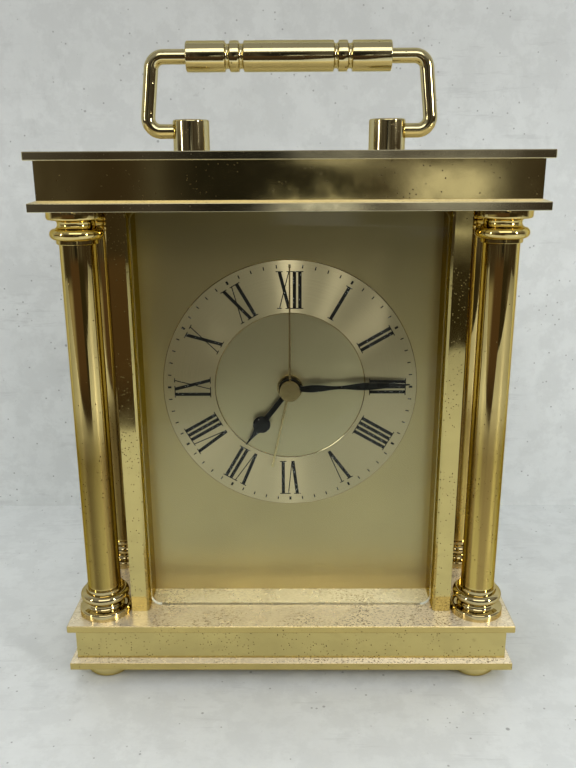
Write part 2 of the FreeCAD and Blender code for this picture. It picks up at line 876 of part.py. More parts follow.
# Battery and contacts
def battery():
    half = battery_length / 2
    cell = rod_x(battery_radius, battery_y, battery_z, -half - battery_nub_length / 2,
                 half - battery_nub_length / 2)
    nub = rod_x(battery_nub_radius, battery_y, battery_z, half - battery_nub_length / 2,
                half + battery_nub_length / 2)
    return joined(cell, nub)


def contact(side):
    """Sheet leaf against the bay's end, with a dimple that reaches the cell."""
    wall, leaf = side * room_half, side * (room_half - contact_thickness)
    reach = side * (battery_length + battery_nub_length) / 2
    half = contact_width / 2
    sheet = box(min(wall, leaf), max(wall, leaf), battery_y - half, battery_y + half,
                battery_z - half, battery_z + half)
    height = abs(leaf - reach)
    dimple = Part.makeCone(battery_nub_radius, battery_nub_radius / 2, height,
                           vec(leaf, battery_y, battery_z), vec(-side, 0, 0))
    return joined(sheet, dimple)


put("battery", battery())
put("battery_contact_plus", contact(1))
put("battery_contact_minus", contact(-1))


# Motor
magnet_front = centre_level + wheel_thickness
stator_front = magnet_front + (magnet_length - stator_thickness) / 2
core_front = stator_front + stator_thickness
coil_y = core_front + stator_thickness / 2
coil_z = hub_height + coil_rise
eye_radius = magnet_radius + stator_air_gap
eye_outer = eye_radius + stator_eye_wall
pad_places = [(coil_left, coil_z), (coil_right, coil_z)]


def stator():
    """Flat plate: an eye round the magnet and a bent arm to each end of the coil's core."""
    y0, y1 = stator_front, core_front
    plate = rod_y(eye_outer, *rotor_at, y0, y1)
    for x, z in pad_places:
        elbow = (x, z - stator_elbow_drop)
        plate = joined(
            plate,
            strip(rotor_at, elbow, stator_arm_width, y0, y1),
            rod_y(stator_arm_width / 2, *elbow, y0, y1),
            strip(elbow, (x, z), stator_arm_width, y0, y1),
            rod_y(stator_pad_radius, x, z, y0, y1))
    return plate.cut(rod_y(eye_radius, *rotor_at, y0 - overrun, y1 + overrun))


def coil_core():
    y0, y1 = core_front, core_front + stator_thickness
    half = core_half_width
    bar = box(coil_left, coil_right, y0, y1, coil_z - half, coil_z + half)
    return joined(bar, *[rod_y(stator_pad_radius, x, z, y0, y1) for x, z in pad_places])


bobbin_left = coil_left + coil_flange_inset
bobbin_right = coil_right - coil_flange_inset


def coil_bobbin():
    flange = coil_flange_radius
    wall = bobbin_wall
    y0, y1 = core_front - wall, core_front + stator_thickness + wall
    z0, z1 = coil_z - core_half_width - wall, coil_z + core_half_width + wall
    body = joined(
        rod_x(flange, coil_y, coil_z, bobbin_left, bobbin_left + coil_flange),
        box(bobbin_left, bobbin_right, y0, y1, z0, z1),
        rod_x(flange, coil_y, coil_z, bobbin_right - coil_flange, bobbin_right))
    slot = box(bobbin_left - overrun, bobbin_right + overrun, core_front, core_front + stator_thickness,
               coil_z - core_half_width, coil_z + core_half_width)
    return body.cut(slot)


def coil_winding():
    wall = bobbin_wall
    x0, x1 = bobbin_left + coil_flange, bobbin_right - coil_flange
    body = rod_x(coil_radius, coil_y, coil_z, x0, x1)
    return body.cut(box(x0 - overrun, x1 + overrun, core_front - wall, core_front + stator_thickness + wall,
                        coil_z - core_half_width - wall, coil_z + core_half_width + wall))


put("stator", stator())
put("coil_core", coil_core())
put("coil_bobbin", coil_bobbin())
put("coil_winding", coil_winding())

# Phases. The seconds wheel, the cannon pinion and the alarm wheel start with a tooth at twelve.
intermediate_pinion_phase = mesh_phase(0, second_teeth, intermediate_pinion_teeth, clock_intermediate)
intermediate_phase = intermediate_pinion_phase
rotor_phase = mesh_phase(intermediate_phase, intermediate_teeth, rotor_pinion_teeth, clock_rotor)
third_phase = mesh_phase(0, second_pinion_teeth, third_teeth, clock_third)
centre_phase = mesh_phase(third_phase, third_pinion_teeth, centre_teeth, clock_third + 180)
minute_work_phase = mesh_phase(0, cannon_teeth, minute_work_teeth, clock_minute_work)
hour_phase = mesh_phase(minute_work_phase, minute_pinion_teeth, hour_teeth, clock_minute_work + 180)
time_set_phase = mesh_phase(minute_work_phase, minute_work_teeth, cannon_teeth, clock_set_pinion)
alarm_set_phase = mesh_phase(0, alarm_teeth, alarm_set_teeth, clock_alarm_set)


def rotor():
    x, z = rotor_at
    y0 = centre_level - layer_gap - pivot_hole_depth
    arbor = rod_y(arbor_radius, x, z, y0 + running_clearance, bridge_level + bridge_thickness)
    magnet = rod_y(magnet_radius, x, z, magnet_front, magnet_front + magnet_length)
    pinion = gear(rotor_pinion_teeth, seconds_module, x, z, magnet_front + magnet_length,
                  intermediate_level + wheel_thickness, rotor_phase)
    return joined(arbor, magnet, pinion)


def intermediate_wheel():
    x, z = intermediate_at
    wheel = gear(intermediate_teeth, seconds_module, x, z, intermediate_level,
                 intermediate_level + wheel_thickness, intermediate_phase)
    pinion = gear(intermediate_pinion_teeth, seconds_module, x, z, second_level - layer_gap / 2,
                  intermediate_level, intermediate_pinion_phase)
    bore = rod_y(intermediate_post_radius + running_clearance, x, z, second_level - overrun,
                 intermediate_level + wheel_thickness + overrun)
    return joined(wheel, pinion).cut(bore)


def second_wheel():
    x, z = 0, hub_height
    arbor = rod_y(second_arbor_radius, x, z, second_hand_back, bridge_level + bridge_thickness)
    wheel = gear(second_teeth, seconds_module, x, z, second_level, second_level + wheel_thickness, 0)
    pinion = gear(second_pinion_teeth, third_module, x, z, third_level - layer_gap / 2, second_level, 0)
    return joined(arbor, wheel, pinion)


def third_wheel():
    x, z = third_at
    y0 = motion_level - layer_gap - pivot_hole_depth + running_clearance
    arbor = rod_y(arbor_radius, x, z, y0, bridge_level + bridge_thickness)
    wheel = gear(third_teeth, third_module, x, z, third_level, third_level + wheel_thickness, third_phase)
    pinion = gear(third_pinion_teeth, centre_module, x, z, centre_level - layer_gap / 2, third_level,
                  third_phase)
    return joined(arbor, wheel, pinion)


cannon_stub_radius = minute_pipe_bore + cannon_stub_wall


def centre_wheel():
    x, z = 0, hub_height
    face, back = centre_level, centre_level + wheel_thickness
    wheel = gear(centre_teeth, centre_module, x, z, face, back, centre_phase)
    y0, y1 = face - layer_gap / 2, back + layer_gap / 2
    boss = rod_y(cannon_stub_radius + pipe_wall * 2, x, z, y0, y1)
    return joined(wheel, boss).cut(rod_y(cannon_stub_radius + running_clearance, x, z, y0 - overrun,
                                         y1 + overrun))


def cannon_pinion():
    x, z = 0, hub_height
    y1 = motion_level + wheel_thickness
    pinion = gear(cannon_teeth, motion_module, x, z, motion_level, y1, 0)
    pipe = rod_y(minute_pipe_radius, x, z, minute_hand_front, motion_level)
    stub = rod_y(cannon_stub_radius, x, z, y1, centre_level + wheel_thickness + layer_gap)
    bore = rod_y(minute_pipe_bore, x, z, minute_hand_front - overrun, third_level)
    return joined(pinion, pipe, stub).cut(bore)


def minute_work_wheel():
    x, z = minute_work_at
    wheel = gear(minute_work_teeth, motion_module, x, z, motion_level, motion_level + wheel_thickness,
                 minute_work_phase)
    pinion = gear(minute_pinion_teeth, hour_module, x, z, hour_level - layer_gap / 2, motion_level,
                  minute_work_phase)
    return joined(wheel, pinion).cut(rod_y(motion_post_radius + running_clearance, x, z,
                                           hour_level - overrun, motion_level + wheel_thickness + overrun))


def hour_wheel():
    x, z = 0, hub_height
    wheel = gear(hour_teeth, hour_module, x, z, hour_level, hour_level + wheel_thickness, hour_phase)
    pipe = rod_y(hour_pipe_radius, x, z, hour_hand_front, hour_level)
    return joined(wheel, pipe).cut(rod_y(hour_pipe_bore, x, z, hour_hand_front - overrun,
                                         hour_level + wheel_thickness + overrun))


def alarm_wheel():
    x, z = 0, hub_height
    wheel = gear(alarm_teeth, alarm_module, x, z, alarm_level, alarm_level + wheel_thickness, 0)
    pipe = rod_y(alarm_pipe_radius, x, z, alarm_hand_front, alarm_level)
    return joined(wheel, pipe).cut(rod_y(alarm_pipe_bore, x, z, alarm_hand_front - overrun,
                                         alarm_level + wheel_thickness + overrun))


knob_front = lid_back + knob_gap
shaft_back = knob_front + knob_bore_depth


def set_shaft(at, teeth, module, level, phase):
    x, z = at
    pinion = gear(teeth, module, x, z, level, level + wheel_thickness, phase)
    y0 = room_front - pivot_hole_depth + running_clearance
    return joined(pinion, rod_y(set_shaft_radius, x, z, y0, shaft_back))


def knob(at, radius):
    x, z = at
    outline = gear_points(knob_flute_count, knob_flute_module, x, z, 0)
    scale = radius / (knob_flute_module * (knob_flute_count / 2 + tip_share))
    points = [(x + (px - x) * scale, z + (pz - z) * scale) for px, pz in outline]
    body = prism_y(points, knob_front, knob_front + knob_length)
    return body.cut(rod_y(set_shaft_radius, x, z, knob_front - overrun, shaft_back))


put("rotor", rotor())
put("intermediate_wheel", intermediate_wheel())
put("second_wheel", second_wheel())
put("third_wheel", third_wheel())
put("centre_wheel", centre_wheel())
put("cannon_pinion", cannon_pinion())
put("minute_work_wheel", minute_work_wheel())
put("hour_wheel", hour_wheel())
put("alarm_wheel", alarm_wheel())
put("time_set_shaft", set_shaft(time_set_at, cannon_teeth, motion_module, motion_level, time_set_phase))
put("alarm_set_shaft", set_shaft(alarm_set_at, alarm_set_teeth, alarm_module, alarm_level, alarm_set_phase))
put("time_set_knob", knob(time_set_at, time_knob_radius))
put("alarm_set_knob", knob(alarm_set_at, alarm_knob_radius))


# Board, crystal, sounder and switch
board_front = room_front + board_rise


def circuit_board():
    """Board with its chip, on two posts."""
    y1 = board_front + board_thickness
    low, high = hub_height + board_low, hub_height + board_high
    board = box(board_left, board_right, board_front, y1, low, high)
    chip_x = (board_left + board_right) / 2
    chip = box(chip_x - chip_side / 2, chip_x + chip_side / 2, y1, y1 + chip_height, low + chip_height,
               low + chip_height + chip_side)
    return joined(board, chip)


def crystal():
    y = board_front + board_thickness + crystal_radius
    z = hub_height + board_high - crystal_radius - chip_height
    middle = (board_left + board_right) / 2
    return rod_x(crystal_radius, y, z, middle - crystal_length / 2, middle + crystal_length / 2)


def sounder():
    y0, y1 = lid_front - sounder_thickness, lid_front
    return rod_y(sounder_radius, sounder_x, hub_height + sounder_z, y0, y1)


def switch_slider():
    middle = hub_height + switch_z
    half_w, half_h = switch_button_width / 2, switch_button_height / 2
    margin = switch_plate_margin
    back = lid_front - switch_slack
    plate = box(switch_x - half_w - margin, switch_x + half_w + margin, back - switch_plate_thickness, back,
                middle - half_h - margin / 2, middle + half_h + margin / 2)
    button = box(switch_x - half_w, switch_x + half_w, back, lid_back + switch_proud, middle - half_h,
                 middle + half_h)
    return joined(plate, button)


put("circuit_board", circuit_board())
put("quartz_crystal", crystal())
put("alarm_sounder", sounder())
put("alarm_switch", switch_slider())


# Hands, drawn towards twelve and then turned
def turned_to(shape, degrees):
    shape.rotate(vec(0, 0, hub_height), vec(0, 1, 0), degrees)
    return shape


def blade(stations, y0, y1):
    """Flat blade whose widths are given at distances from the hub."""
    right = [(width / 2, hub_height + reach) for reach, width in stations]
    left = [(-x, z) for x, z in right[::-1]]
    return prism_y(right + left, y0, y1)


def second_hand():
    y0, y1 = second_hand_front, second_hand_back
    stick = blade([(0, second_width), (second_length, second_tip_width)], y0, y1)
    return joined(stick, rod_y(second_cap_radius, 0, hub_height, second_cap_front, y1))


# Where a hand swells and narrows: distances as shares of its length, widths as shares of its widest
minute_reach_shares = (
    0.092, 0.148, 0.202, 0.267, 0.326, 0.386, 0.43, 0.49, 0.564, 0.638, 0.712, 0.801, 0.89,
)
minute_width_shares = (0.67, 0.91, 0.98, 0.84, 0.6, 0.44, 0.44, 0.6, 0.88, 1.0, 0.93, 0.7, 0.44)
hour_reach_shares = (0.69, 0.73, 0.77, 0.83, 0.89, 0.95)
hour_width_shares = (0.9, 0.68, 0.44, 0.26, 0.17, 0.1)


def shaped(length, width, reach_shares, width_shares, first):
    """Stations of a blade from its first one to a narrow tip."""
    stations = [first]
    for reach, breadth in zip(reach_shares, width_shares):
        stations.append((length * reach, width * breadth))
    return stations + [(length, second_tip_width)]


def minute_hand():
    y0, y1 = minute_hand_front, minute_hand_back
    stations = shaped(minute_length, minute_width, minute_reach_shares, minute_width_shares,
                      (0, minute_width * minute_width_shares[0]))
    shape = joined(blade(stations, y0, y1), rod_y(minute_boss_radius, 0, hub_height, y0, y1))
    shape = shape.cut(rod_y(minute_pipe_radius, 0, hub_height, y0 - overrun, y1 + overrun))
    return turned_to(shape, minute_angle)


def hour_hand():
    y0, y1 = hour_hand_front, hour_hand_back
    stem = blade([(0, hour_stem_width), (hour_bulb_at, hour_stem_width)], y0, y1)
    bulb = rod_y(hour_bulb_radius, 0, hub_height + hour_bulb_at, y0, y1)
    tip = blade(shaped(hour_length, hour_bulb_radius * 2, hour_reach_shares, hour_width_shares,
                       (hour_bulb_at, hour_stem_width)), y0, y1)
    boss = rod_y(hour_boss_radius, 0, hub_height, y0, y1)
    shape = joined(stem, bulb, tip, boss)
    shape = shape.cut(rod_y(hour_pipe_radius, 0, hub_height, y0 - overrun, y1 + overrun))
    return turned_to(shape, hour_angle)


def alarm_hand():
    y0, y1 = alarm_hand_front, alarm_hand_back
    stick = blade([(0, alarm_width), (alarm_length, alarm_width)], y1 - hand_thickness, y1)
    shape = joined(stick, rod_y(alarm_boss_radius, 0, hub_height, y0, y1))
    shape = shape.cut(rod_y(alarm_pipe_radius, 0, hub_height, y0 - overrun, y1 + overrun))
    return turned_to(shape, alarm_angle)


put("second_hand", second_hand())
put("minute_hand", minute_hand())
put("hour_hand", hour_hand())
put("alarm_hand", alarm_hand())

os.makedirs("parts", exist_ok=True)
for name, shape in nodes.items():
    shape.exportStep("parts/" + name + ".step")
print(len(nodes), "nodes")
print("third", third_at, "intermediate", intermediate_at, "rotor", rotor_at)
print("minute work", minute_work_at, "time set", time_set_at, "alarm set", alarm_set_at)
print("hub", hub_height, "pivot", pivot_z, "top", grip_z + grip_radius)
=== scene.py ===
import json
import math

import bmesh
import bpy
from mathutils import Matrix, Vector


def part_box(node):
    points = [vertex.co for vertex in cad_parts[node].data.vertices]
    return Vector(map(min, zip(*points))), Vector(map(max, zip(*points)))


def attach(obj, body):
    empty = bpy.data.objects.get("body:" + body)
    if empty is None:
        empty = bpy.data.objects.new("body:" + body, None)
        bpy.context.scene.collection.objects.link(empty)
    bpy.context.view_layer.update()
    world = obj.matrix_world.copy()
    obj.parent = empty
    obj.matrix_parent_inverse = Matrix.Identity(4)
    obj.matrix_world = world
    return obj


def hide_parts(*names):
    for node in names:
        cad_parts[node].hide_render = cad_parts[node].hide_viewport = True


# Looks for a polished brass clock with a handle. Sizes are in millimetres, like the CAD
# part, and MM turns them into Blender's metres. -Y faces the viewer and Z is up.
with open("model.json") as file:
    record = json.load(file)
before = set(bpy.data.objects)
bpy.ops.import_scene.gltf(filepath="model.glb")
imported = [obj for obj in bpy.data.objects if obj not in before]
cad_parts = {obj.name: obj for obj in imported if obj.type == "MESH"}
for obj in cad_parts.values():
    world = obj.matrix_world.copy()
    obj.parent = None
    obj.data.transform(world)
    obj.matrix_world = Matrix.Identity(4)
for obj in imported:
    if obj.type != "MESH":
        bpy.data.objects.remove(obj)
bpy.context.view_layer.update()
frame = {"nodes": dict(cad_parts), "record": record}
nodes = frame["nodes"]
MM = 0.001

# Camera, from the photograph's perspective. Angles in radians, and the focal length as a share of
# the picture's longer side
CAMERA_PLACE = (1.2, -213.9, 144.7)
CAMERA_PITCH = 0.2785
CAMERA_YAW = -0.0084
CAMERA_ROLL = -0.0048
FOCAL_SHARE = 766.8 / 768
SENSOR_WIDTH = 36.0

# Surroundings
TABLE_HALF_WIDTH = 900.0
TABLE_FRONT = -235.0
TABLE_CORNER = 20.0
TABLE_FAR_FRONT = -430.0
TABLE_FAR_CORNER = 130.0
TABLE_BACK = 700.0
WALL_Y = 97.0
WALL_HEIGHT = 620.0
LAMP_AIM_Z = 130.0
LAMP_COLOR = (1.0, 0.985, 0.96)

# Case
FOOT_HEIGHT = 5.0
FOOT_RADIUS = 6.9
FOOT_SOLE_RADIUS = 5.0
FOOT_NECK_RADIUS = 5.6
SHAFT_RADIUS = 4.7
DISC_RADIUS = 7.4
DISC_HEIGHT = 2.2
DISC_EDGE_ROUND = 0.6
NECK_RADIUS = 4.8
NECK_HEIGHT = 2.2
BEAD_RADIUS = 6.9
BEAD_HEIGHT = 2.8
COLLAR_RADIUS = 5.35
COLLAR_HEIGHT = 1.1
COLLAR_BREAK = 0.12
PLATE_BREAK = 0.16

# Wear on the columns, by height: none on the turned feet or above the top, full below the last
FEET_TOP_Z = 27.6
WEAR_TOP_Z = 97.0
WEAR_FULL_Z = 74.0

# Handle
PIVOT_Z = 153.3
GRIP_Z = 171.7
PIN_END = 22.95
WIRE_RADIUS = 1.85
BEND_RADIUS = 3.3
LEG_FOOT = 37.6
LEG_HEAD = 35.5
GRIP_RADIUS = 3.8
GRIP_HALF_LENGTH = 26.5
GROOVE_AT = 11.55
GROOVE_WIDTH = 1.3
GROOVE_DEPTH = 0.8
GRIP_BEAD_WIDTH = 2.3
GRIP_EDGE = 0.3
GROOVE_LIP = 0.06
BEAD_CROWN = 0.02
BORE_GAP = 0.05

# Dial
HUB_Z = 83.9
DIAL_Y = -3.8
RING_Y = -4.1
RING_INNER = 21.2
RING_OUTER = 36.1
RING_BEVEL = 0.17
LINES_PER_MM = 5.0
DISC_INNER = 3.2
DISC_GAP = 0.12
DISC_RISE = 0.08
DISC_BEVEL = 0.03
NUMERAL_INNER = 22.5
NUMERAL_OUTER = 32.9
TICK_INNER = 33.8
TICK_OUTER = 34.75
TICK_HALF_WIDTH = 0.16
HOUR_TICK_HALF_WIDTH = 0.3
HOUR_TICK_LONGER = 0.05
THICK_STROKE = 0.95
THIN_STROKE = 0.28
SERIF_HEIGHT = 0.26
STROKE_PITCH = 1.5
LETTER_WIDTH = 2.65
SERIF_REACH = 0.5
PRINT_HEIGHT = 0.025

# Hands
HAND_THICKNESS = 0.3
MINUTE_LENGTH = 33.7
BULB_AT = 13.4
BULB_RADIUS = 2.5
MINUTE_ANGLE = 87.6
HOUR_ANGLE = 217.3
MINUTE_BOSS_RADIUS = 3.1
HOUR_BOSS_RADIUS = 3.0
HAND_BEVEL = 0.08
TIP_WIDTH = 0.3

# Setting knobs
ARROW_HALF_WIDTH = 0.35
ARROW_HEAD_HALF_WIDTH = 1.0
ARROW_HEIGHT = 0.25
ARROW_START = 40.0
ARROW_SWEEP = 220.0
ARROW_HEAD_TURN = 0.55
TIME_ARROW_RADIUS = 4.0
ALARM_ARROW_RADIUS = 3.0

# Fineness of the meshes: facets round a turned piece, and edges sharper than this stay sharp
FINE_STEPS = 128
DIAL_STEPS = 256
SHARP_ANGLE = 35.0
WELD_REACH = 0.001


# Node helpers
class Nodes:
    """Adds and links shader nodes in one tree."""

    def __init__(self, tree):
        self.tree = tree

    def add(self, kind, **values):
        node = self.tree.nodes.new(kind)
        for name, value in values.items():
            setattr(node, name, value)
        return node

    def link(self, source, target):
        self.tree.links.new(source, target)

    def math(self, operation, a, b=None, clamp=False):
        node = self.add("ShaderNodeMath", operation=operation, use_clamp=clamp)
        self.feed(node.inputs[0], a)
        if b is not None:
            self.feed(node.inputs[1], b)
        return node.outputs[0]

    def plus(self, a, b):
        return self.math("ADD", a, b)

    def minus(self, a, b):
        return self.math("SUBTRACT", a, b)

    def times(self, a, b):
        return self.math("MULTIPLY", a, b)

    def feed(self, socket, value):
        if isinstance(value, bpy.types.NodeSocket):
            self.link(value, socket)
        else:
            socket.default_value = value

    def ramp(self, value, low, high, start=0.0, end=1.0):
        """Runs smoothly from start to end while value runs from low to high."""
        node = self.add("ShaderNodeMapRange", interpolation_type="SMOOTHSTEP")
        for name, item in (("Value", value), ("From Min", low), ("From Max", high),
                           ("To Min", start), ("To Max", end)):
            self.feed(node.inputs[name], item)
        return node.outputs["Result"]

    def mix(self, factor, a, b):
        node = self.add("ShaderNodeMix", data_type="RGBA")
        self.feed(node.inputs["Factor"], factor)
        self.feed(node.inputs["A"], a)
        self.feed(node.inputs["B"], b)
        return node.outputs["Result"]

    def blend(self, factor, first, second):
        """One shader over the other, as factor says."""
        node = self.add("ShaderNodeMixShader")
        self.feed(node.inputs["Fac"], factor)
        self.link(first, node.inputs[1])
        self.link(second, node.inputs[2])
        return node.outputs["Shader"]

    def surface(self, shader):
        self.link(shader, self.tree.nodes["Material Output"].inputs["Surface"])

    def split(self, vector):
        node = self.add("ShaderNodeSeparateXYZ")
        self.link(vector, node.inputs["Vector"])
        return node.outputs

    def facing(self):
        """X, Y and Z of the direction that the surface faces."""
        return self.split(self.add("ShaderNodeNewGeometry").outputs["Normal"])

    def distance_from(self, value, middle):
        return self.math("ABSOLUTE", self.minus(value, middle))

    def length(self, a, b):
        return self.math("SQRT", self.plus(self.times(a, a), self.times(b, b)))

    def place(self, scale=(1, 1, 1), rotation=(0, 0, 0)):
        """Position on the piece, to drive a texture."""
        coordinates = self.add("ShaderNodeTexCoord")
        mapping = self.add("ShaderNodeMapping")
        self.link(coordinates.outputs["Object"], mapping.inputs["Vector"])
        mapping.inputs["Scale"].default_value = scale
        mapping.inputs["Rotation"].default_value = rotation
        return mapping.outputs["Vector"]

    def vector(self, x, y, z):
        node = self.add("ShaderNodeCombineXYZ")
        for socket, value in zip(node.inputs, (x, y, z)):
            self.feed(socket, value)
        return node.outputs["Vector"]

    def noise(self, place, scale, detail=3.0, roughness=0.55):
        node = self.add("ShaderNodeTexNoise")
        self.link(place, node.inputs["Vector"])
        node.inputs["Scale"].default_value = scale
        node.inputs["Detail"].default_value = detail
        node.inputs["Roughness"].default_value = roughness
        return node.outputs["Fac"]

    def cells(self, place, scale):
        node = self.add("ShaderNodeTexVoronoi", feature="F1")
        self.link(place, node.inputs["Vector"])
        node.inputs["Scale"].default_value = scale
        return node.outputs["Distance"], node.outputs["Color"]

    def bump(self, height, distance):
        node = self.add("ShaderNodeBump")
        self.link(height, node.inputs["Height"])
        node.inputs["Distance"].default_value = distance * MM
        node.inputs["Strength"].default_value = 1.0
        return node.outputs["Normal"]


def rgba(color, share=1.0):
    """Colour for a socket, darkened to a share of its strength."""
    return (*(c * share for c in color), 1.0)


def new_material(name, color, roughness, metallic=0.0):
    """Material with a Principled shader, and the helper for its tree."""
    material = bpy.data.materials.new(name)
    material.use_nodes = True
    n = Nodes(material.node_tree)
    shader = material.node_tree.nodes["Principled BSDF"]
    shader.inputs["Base Color"].default_value = rgba(color)
    shader.inputs["Roughness"].default_value = roughness
    shader.inputs["Metallic"].default_value = metallic
    return material, n, shader


def specks(n, place, scale, size, amount, patch_scale):
    """Mask of small round spots that gather in patches. 1 inside a spot."""
    distance, cell = n.cells(place, scale)
    split = n.add("ShaderNodeSeparateColor")
    n.link(cell, split.inputs["Color"])
    patches = n.ramp(n.noise(place, patch_scale, 2.0), 0.35, 0.68)
    chance = n.times(patches, amount)
    chosen = n.math("LESS_THAN", split.outputs["Red"], chance)
    radius = n.times(n.plus(split.outputs["Green"], 0.6), size * 0.62)
    spot = n.ramp(n.minus(radius, distance), 0.0, size * 0.35)
    return n.times(spot, chosen)


def upward(n):
    """1 on surfaces that face up, where dust settles."""
    return n.ramp(n.facing()["Z"], 0.6, 0.95)


def brass(name, color=(0.69, 0.57, 0.25), roughness=0.05, pits=0.25, haze=0.06, dust=0.0, dusty=None,
          tarnish=0.3):
    """Lacquered brass: polished, with faint haze, wavy reflections and dark pits under the lacquer.
    dust is the share of dull film on faces that look up, dusty its colour and tarnish its brown flecks.
    The film grows towards +X, which paints a highlight on the right of the plates."""
    material, n, shader = new_material(name, color, roughness, 1.0)
    place = n.place()
    tone = n.ramp(n.noise(place, 45.0), 0.3, 0.7)
    tinted = n.mix(tone, rgba(color, 0.9), rgba(color))
    if dust:
        up = upward(n)
        grains = n.ramp(n.noise(n.place(scale=(0.6, 1, 1)), 1500.0, 4.0, 0.75), 0.40, 0.58)
        pale = n.mix(grains, rgba(dusty, 0.84), rgba(dusty))
        flecks = n.ramp(n.noise(n.place(scale=(0.7, 1, 1)), 2100.0, 2.0, 0.6), 0.56, 0.62)
        gathered = n.ramp(n.noise(place, 42.0, 2.0), 0.38, 0.62, 0.0, tarnish)
        pale = n.mix(n.times(flecks, gathered), pale, rgba((0.22, 0.15, 0.07)))
        tinted = n.mix(up, tinted, pale)
        # Dust film plus painted highlight: the film thickens towards +X to brighten the right side.
        dust_and_painted_highlight = n.ramp(n.split(place)["X"], -10 * MM, 35 * MM, dust, dust * 1.5)
        n.link(n.minus(1.0, n.times(up, dust_and_painted_highlight)), shader.inputs["Metallic"])
    spots = specks(n, place, 1300.0, 0.33, pits, 90.0)
    n.link(n.mix(spots, tinted, rgba((0.12, 0.08, 0.03))), shader.inputs["Base Color"])
    shader.inputs["Specular Tint"].default_value = rgba(color)
    smudge = n.ramp(n.noise(place, 130.0, 4.0), 0.35, 0.75, 0.0, haze)
    rough = n.plus(smudge, roughness)
    if dust:
        rough = n.plus(rough, n.times(up, 0.13))
    n.link(n.plus(rough, n.times(spots, 0.4)), shader.inputs["Roughness"])
    relief = n.minus(n.noise(place, 70.0, 1.0), n.times(spots, 0.6))
    n.link(n.bump(relief, 0.02), shader.inputs["Normal"])
    return material


def worn_brass(name, color=(0.68, 0.54, 0.22), dull=(0.38, 0.28, 0.07), worn=(0.64, 0.49, 0.14)):
    """Lacquered brass shaft that grows duller, streakier and more pitted towards its foot.
    The left columns carry a painted dark reflection band on the side that faces front-left, and the turned
    feet are pinker."""
    material, n, shader = new_material(name, color, 0.07, 1.0)
    place = n.place()
    x, _, z = n.split(place)
    height = n.plus(z, n.times(n.noise(place, 60.0), 0.016))
    above_feet = n.ramp(z, FEET_TOP_Z * MM, (FEET_TOP_Z + 0.8) * MM)
    wear = n.times(n.ramp(height, WEAR_TOP_Z * MM, WEAR_FULL_Z * MM), above_feet)
    shader.inputs["Specular Tint"].default_value = rgba(color)
    streaks = n.ramp(n.noise(n.place(scale=(1, 1, 0.02)), 430.0, 2.0), 0.36, 0.64)
    shade = n.mix(n.ramp(height, 90 * MM, 30 * MM), rgba(dull), rgba(worn))
    shade = n.mix(n.times(streaks, 0.6), shade, rgba((0.22, 0.13, 0.05)))
    # Painted reflection: a dark band on the left columns where the shaft faces front-left.
    left = n.math("LESS_THAN", x, 0.0)
    band = n.ramp(n.distance_from(n.facing()["X"], -0.16), 0.6, 0.0, 0.25, 0.8)
    shade = n.mix(n.times(left, band), shade, rgba((0.11, 0.07, 0.02)))
    foot = n.math("LESS_THAN", z, FEET_TOP_Z * MM)
    spots = specks(n, place, 1100.0, 0.27, n.plus(n.times(wear, 1.3), 0.15), 110.0)
    tinted = n.mix(wear, n.mix(foot, rgba(color), rgba((0.58, 0.48, 0.25))), shade)
    n.link(n.mix(spots, tinted, rgba((0.11, 0.065, 0.025))), shader.inputs["Base Color"])
    smudge = n.ramp(n.noise(place, 130.0, 4.0), 0.35, 0.75, 0.035, 0.08)
    rough = n.plus(smudge, n.times(wear, 0.20))
    n.link(n.plus(rough, n.times(spots, 0.3)), shader.inputs["Roughness"])
    relief = n.minus(n.noise(place, 70.0, 1.0), n.times(spots, 0.6))
    n.link(n.bump(relief, 0.02), shader.inputs["Normal"])
    return material


def brushed_brass(name, color, roughness, grain_scale, grain=0.00012, pits=0.2):
    """Satin brass with fine straight grain. grain_scale stretches the noise along each axis."""
    material, n, shader = new_material(name, color, roughness, 1.0)
    place = n.place()
    lines = n.noise(n.place(scale=grain_scale), 900.0, 2.0)
    cloud = n.ramp(n.noise(place, 28.0), 0.3, 0.7)
    tinted = n.mix(cloud, rgba(color, 0.88), rgba(color))
    spots = specks(n, place, 520.0, 0.26, pits, 45.0)
    n.link(n.mix(spots, tinted, rgba((0.12, 0.085, 0.035))), shader.inputs["Base Color"])
    n.link(n.ramp(lines, 0.2, 0.8, roughness * 0.9, roughness * 1.1), shader.inputs["Roughness"])
    n.link(n.bump(n.minus(lines, spots), grain), shader.inputs["Normal"])
    return material


def spun_brass(name, color, roughness):
    """Brass turned on a lathe: round grooves that draw light into wedges from the centre."""
    material, n, shader = new_material(name, color, roughness, 1.0)
    x, _, z = n.split(n.place())
    reach = n.length(n.minus(z, HUB_Z * MM), x)
    lines = n.vector(n.times(reach, LINES_PER_MM / MM), 0.0, 0.0)
    grooves = n.noise(lines, 0.7, 4.0, 0.7)
    tone = n.mix(n.ramp(grooves, 0.35, 0.65), rgba(color, 0.86), rgba(color))
    half_width = (RING_OUTER - RING_INNER) / 2
    rim = n.ramp(n.distance_from(reach, (RING_INNER + RING_OUTER) / 2 * MM),
                 (half_width - 0.25) * MM, (half_width - 0.15) * MM, 1.0, 0.35)
    rough = n.times(n.ramp(grooves, 0.25, 0.75, roughness * 0.93, roughness * 1.07), rim)
    shader.inputs["Anisotropic"].default_value = 0.97
    shader.inputs["Anisotropic Rotation"].default_value = 0.25
    tangent = n.add("ShaderNodeTangent", direction_type="RADIAL", axis="Y")
    n.link(tangent.outputs["Tangent"], shader.inputs["Tangent"])
    relief = n.bump(grooves, 0.0005)
    satin = n.add("ShaderNodeBsdfPrincipled")
    satin.inputs["Metallic"].default_value = 1.0
    for finish, spread in ((shader, rough), (satin, n.times(rough, 1.25))):
        n.link(tone, finish.inputs["Base Color"])
        n.link(spread, finish.inputs["Roughness"])
        n.link(relief, finish.inputs["Normal"])
    n.surface(n.blend(0.35, shader.outputs["BSDF"], satin.outputs["BSDF"]))
    return material


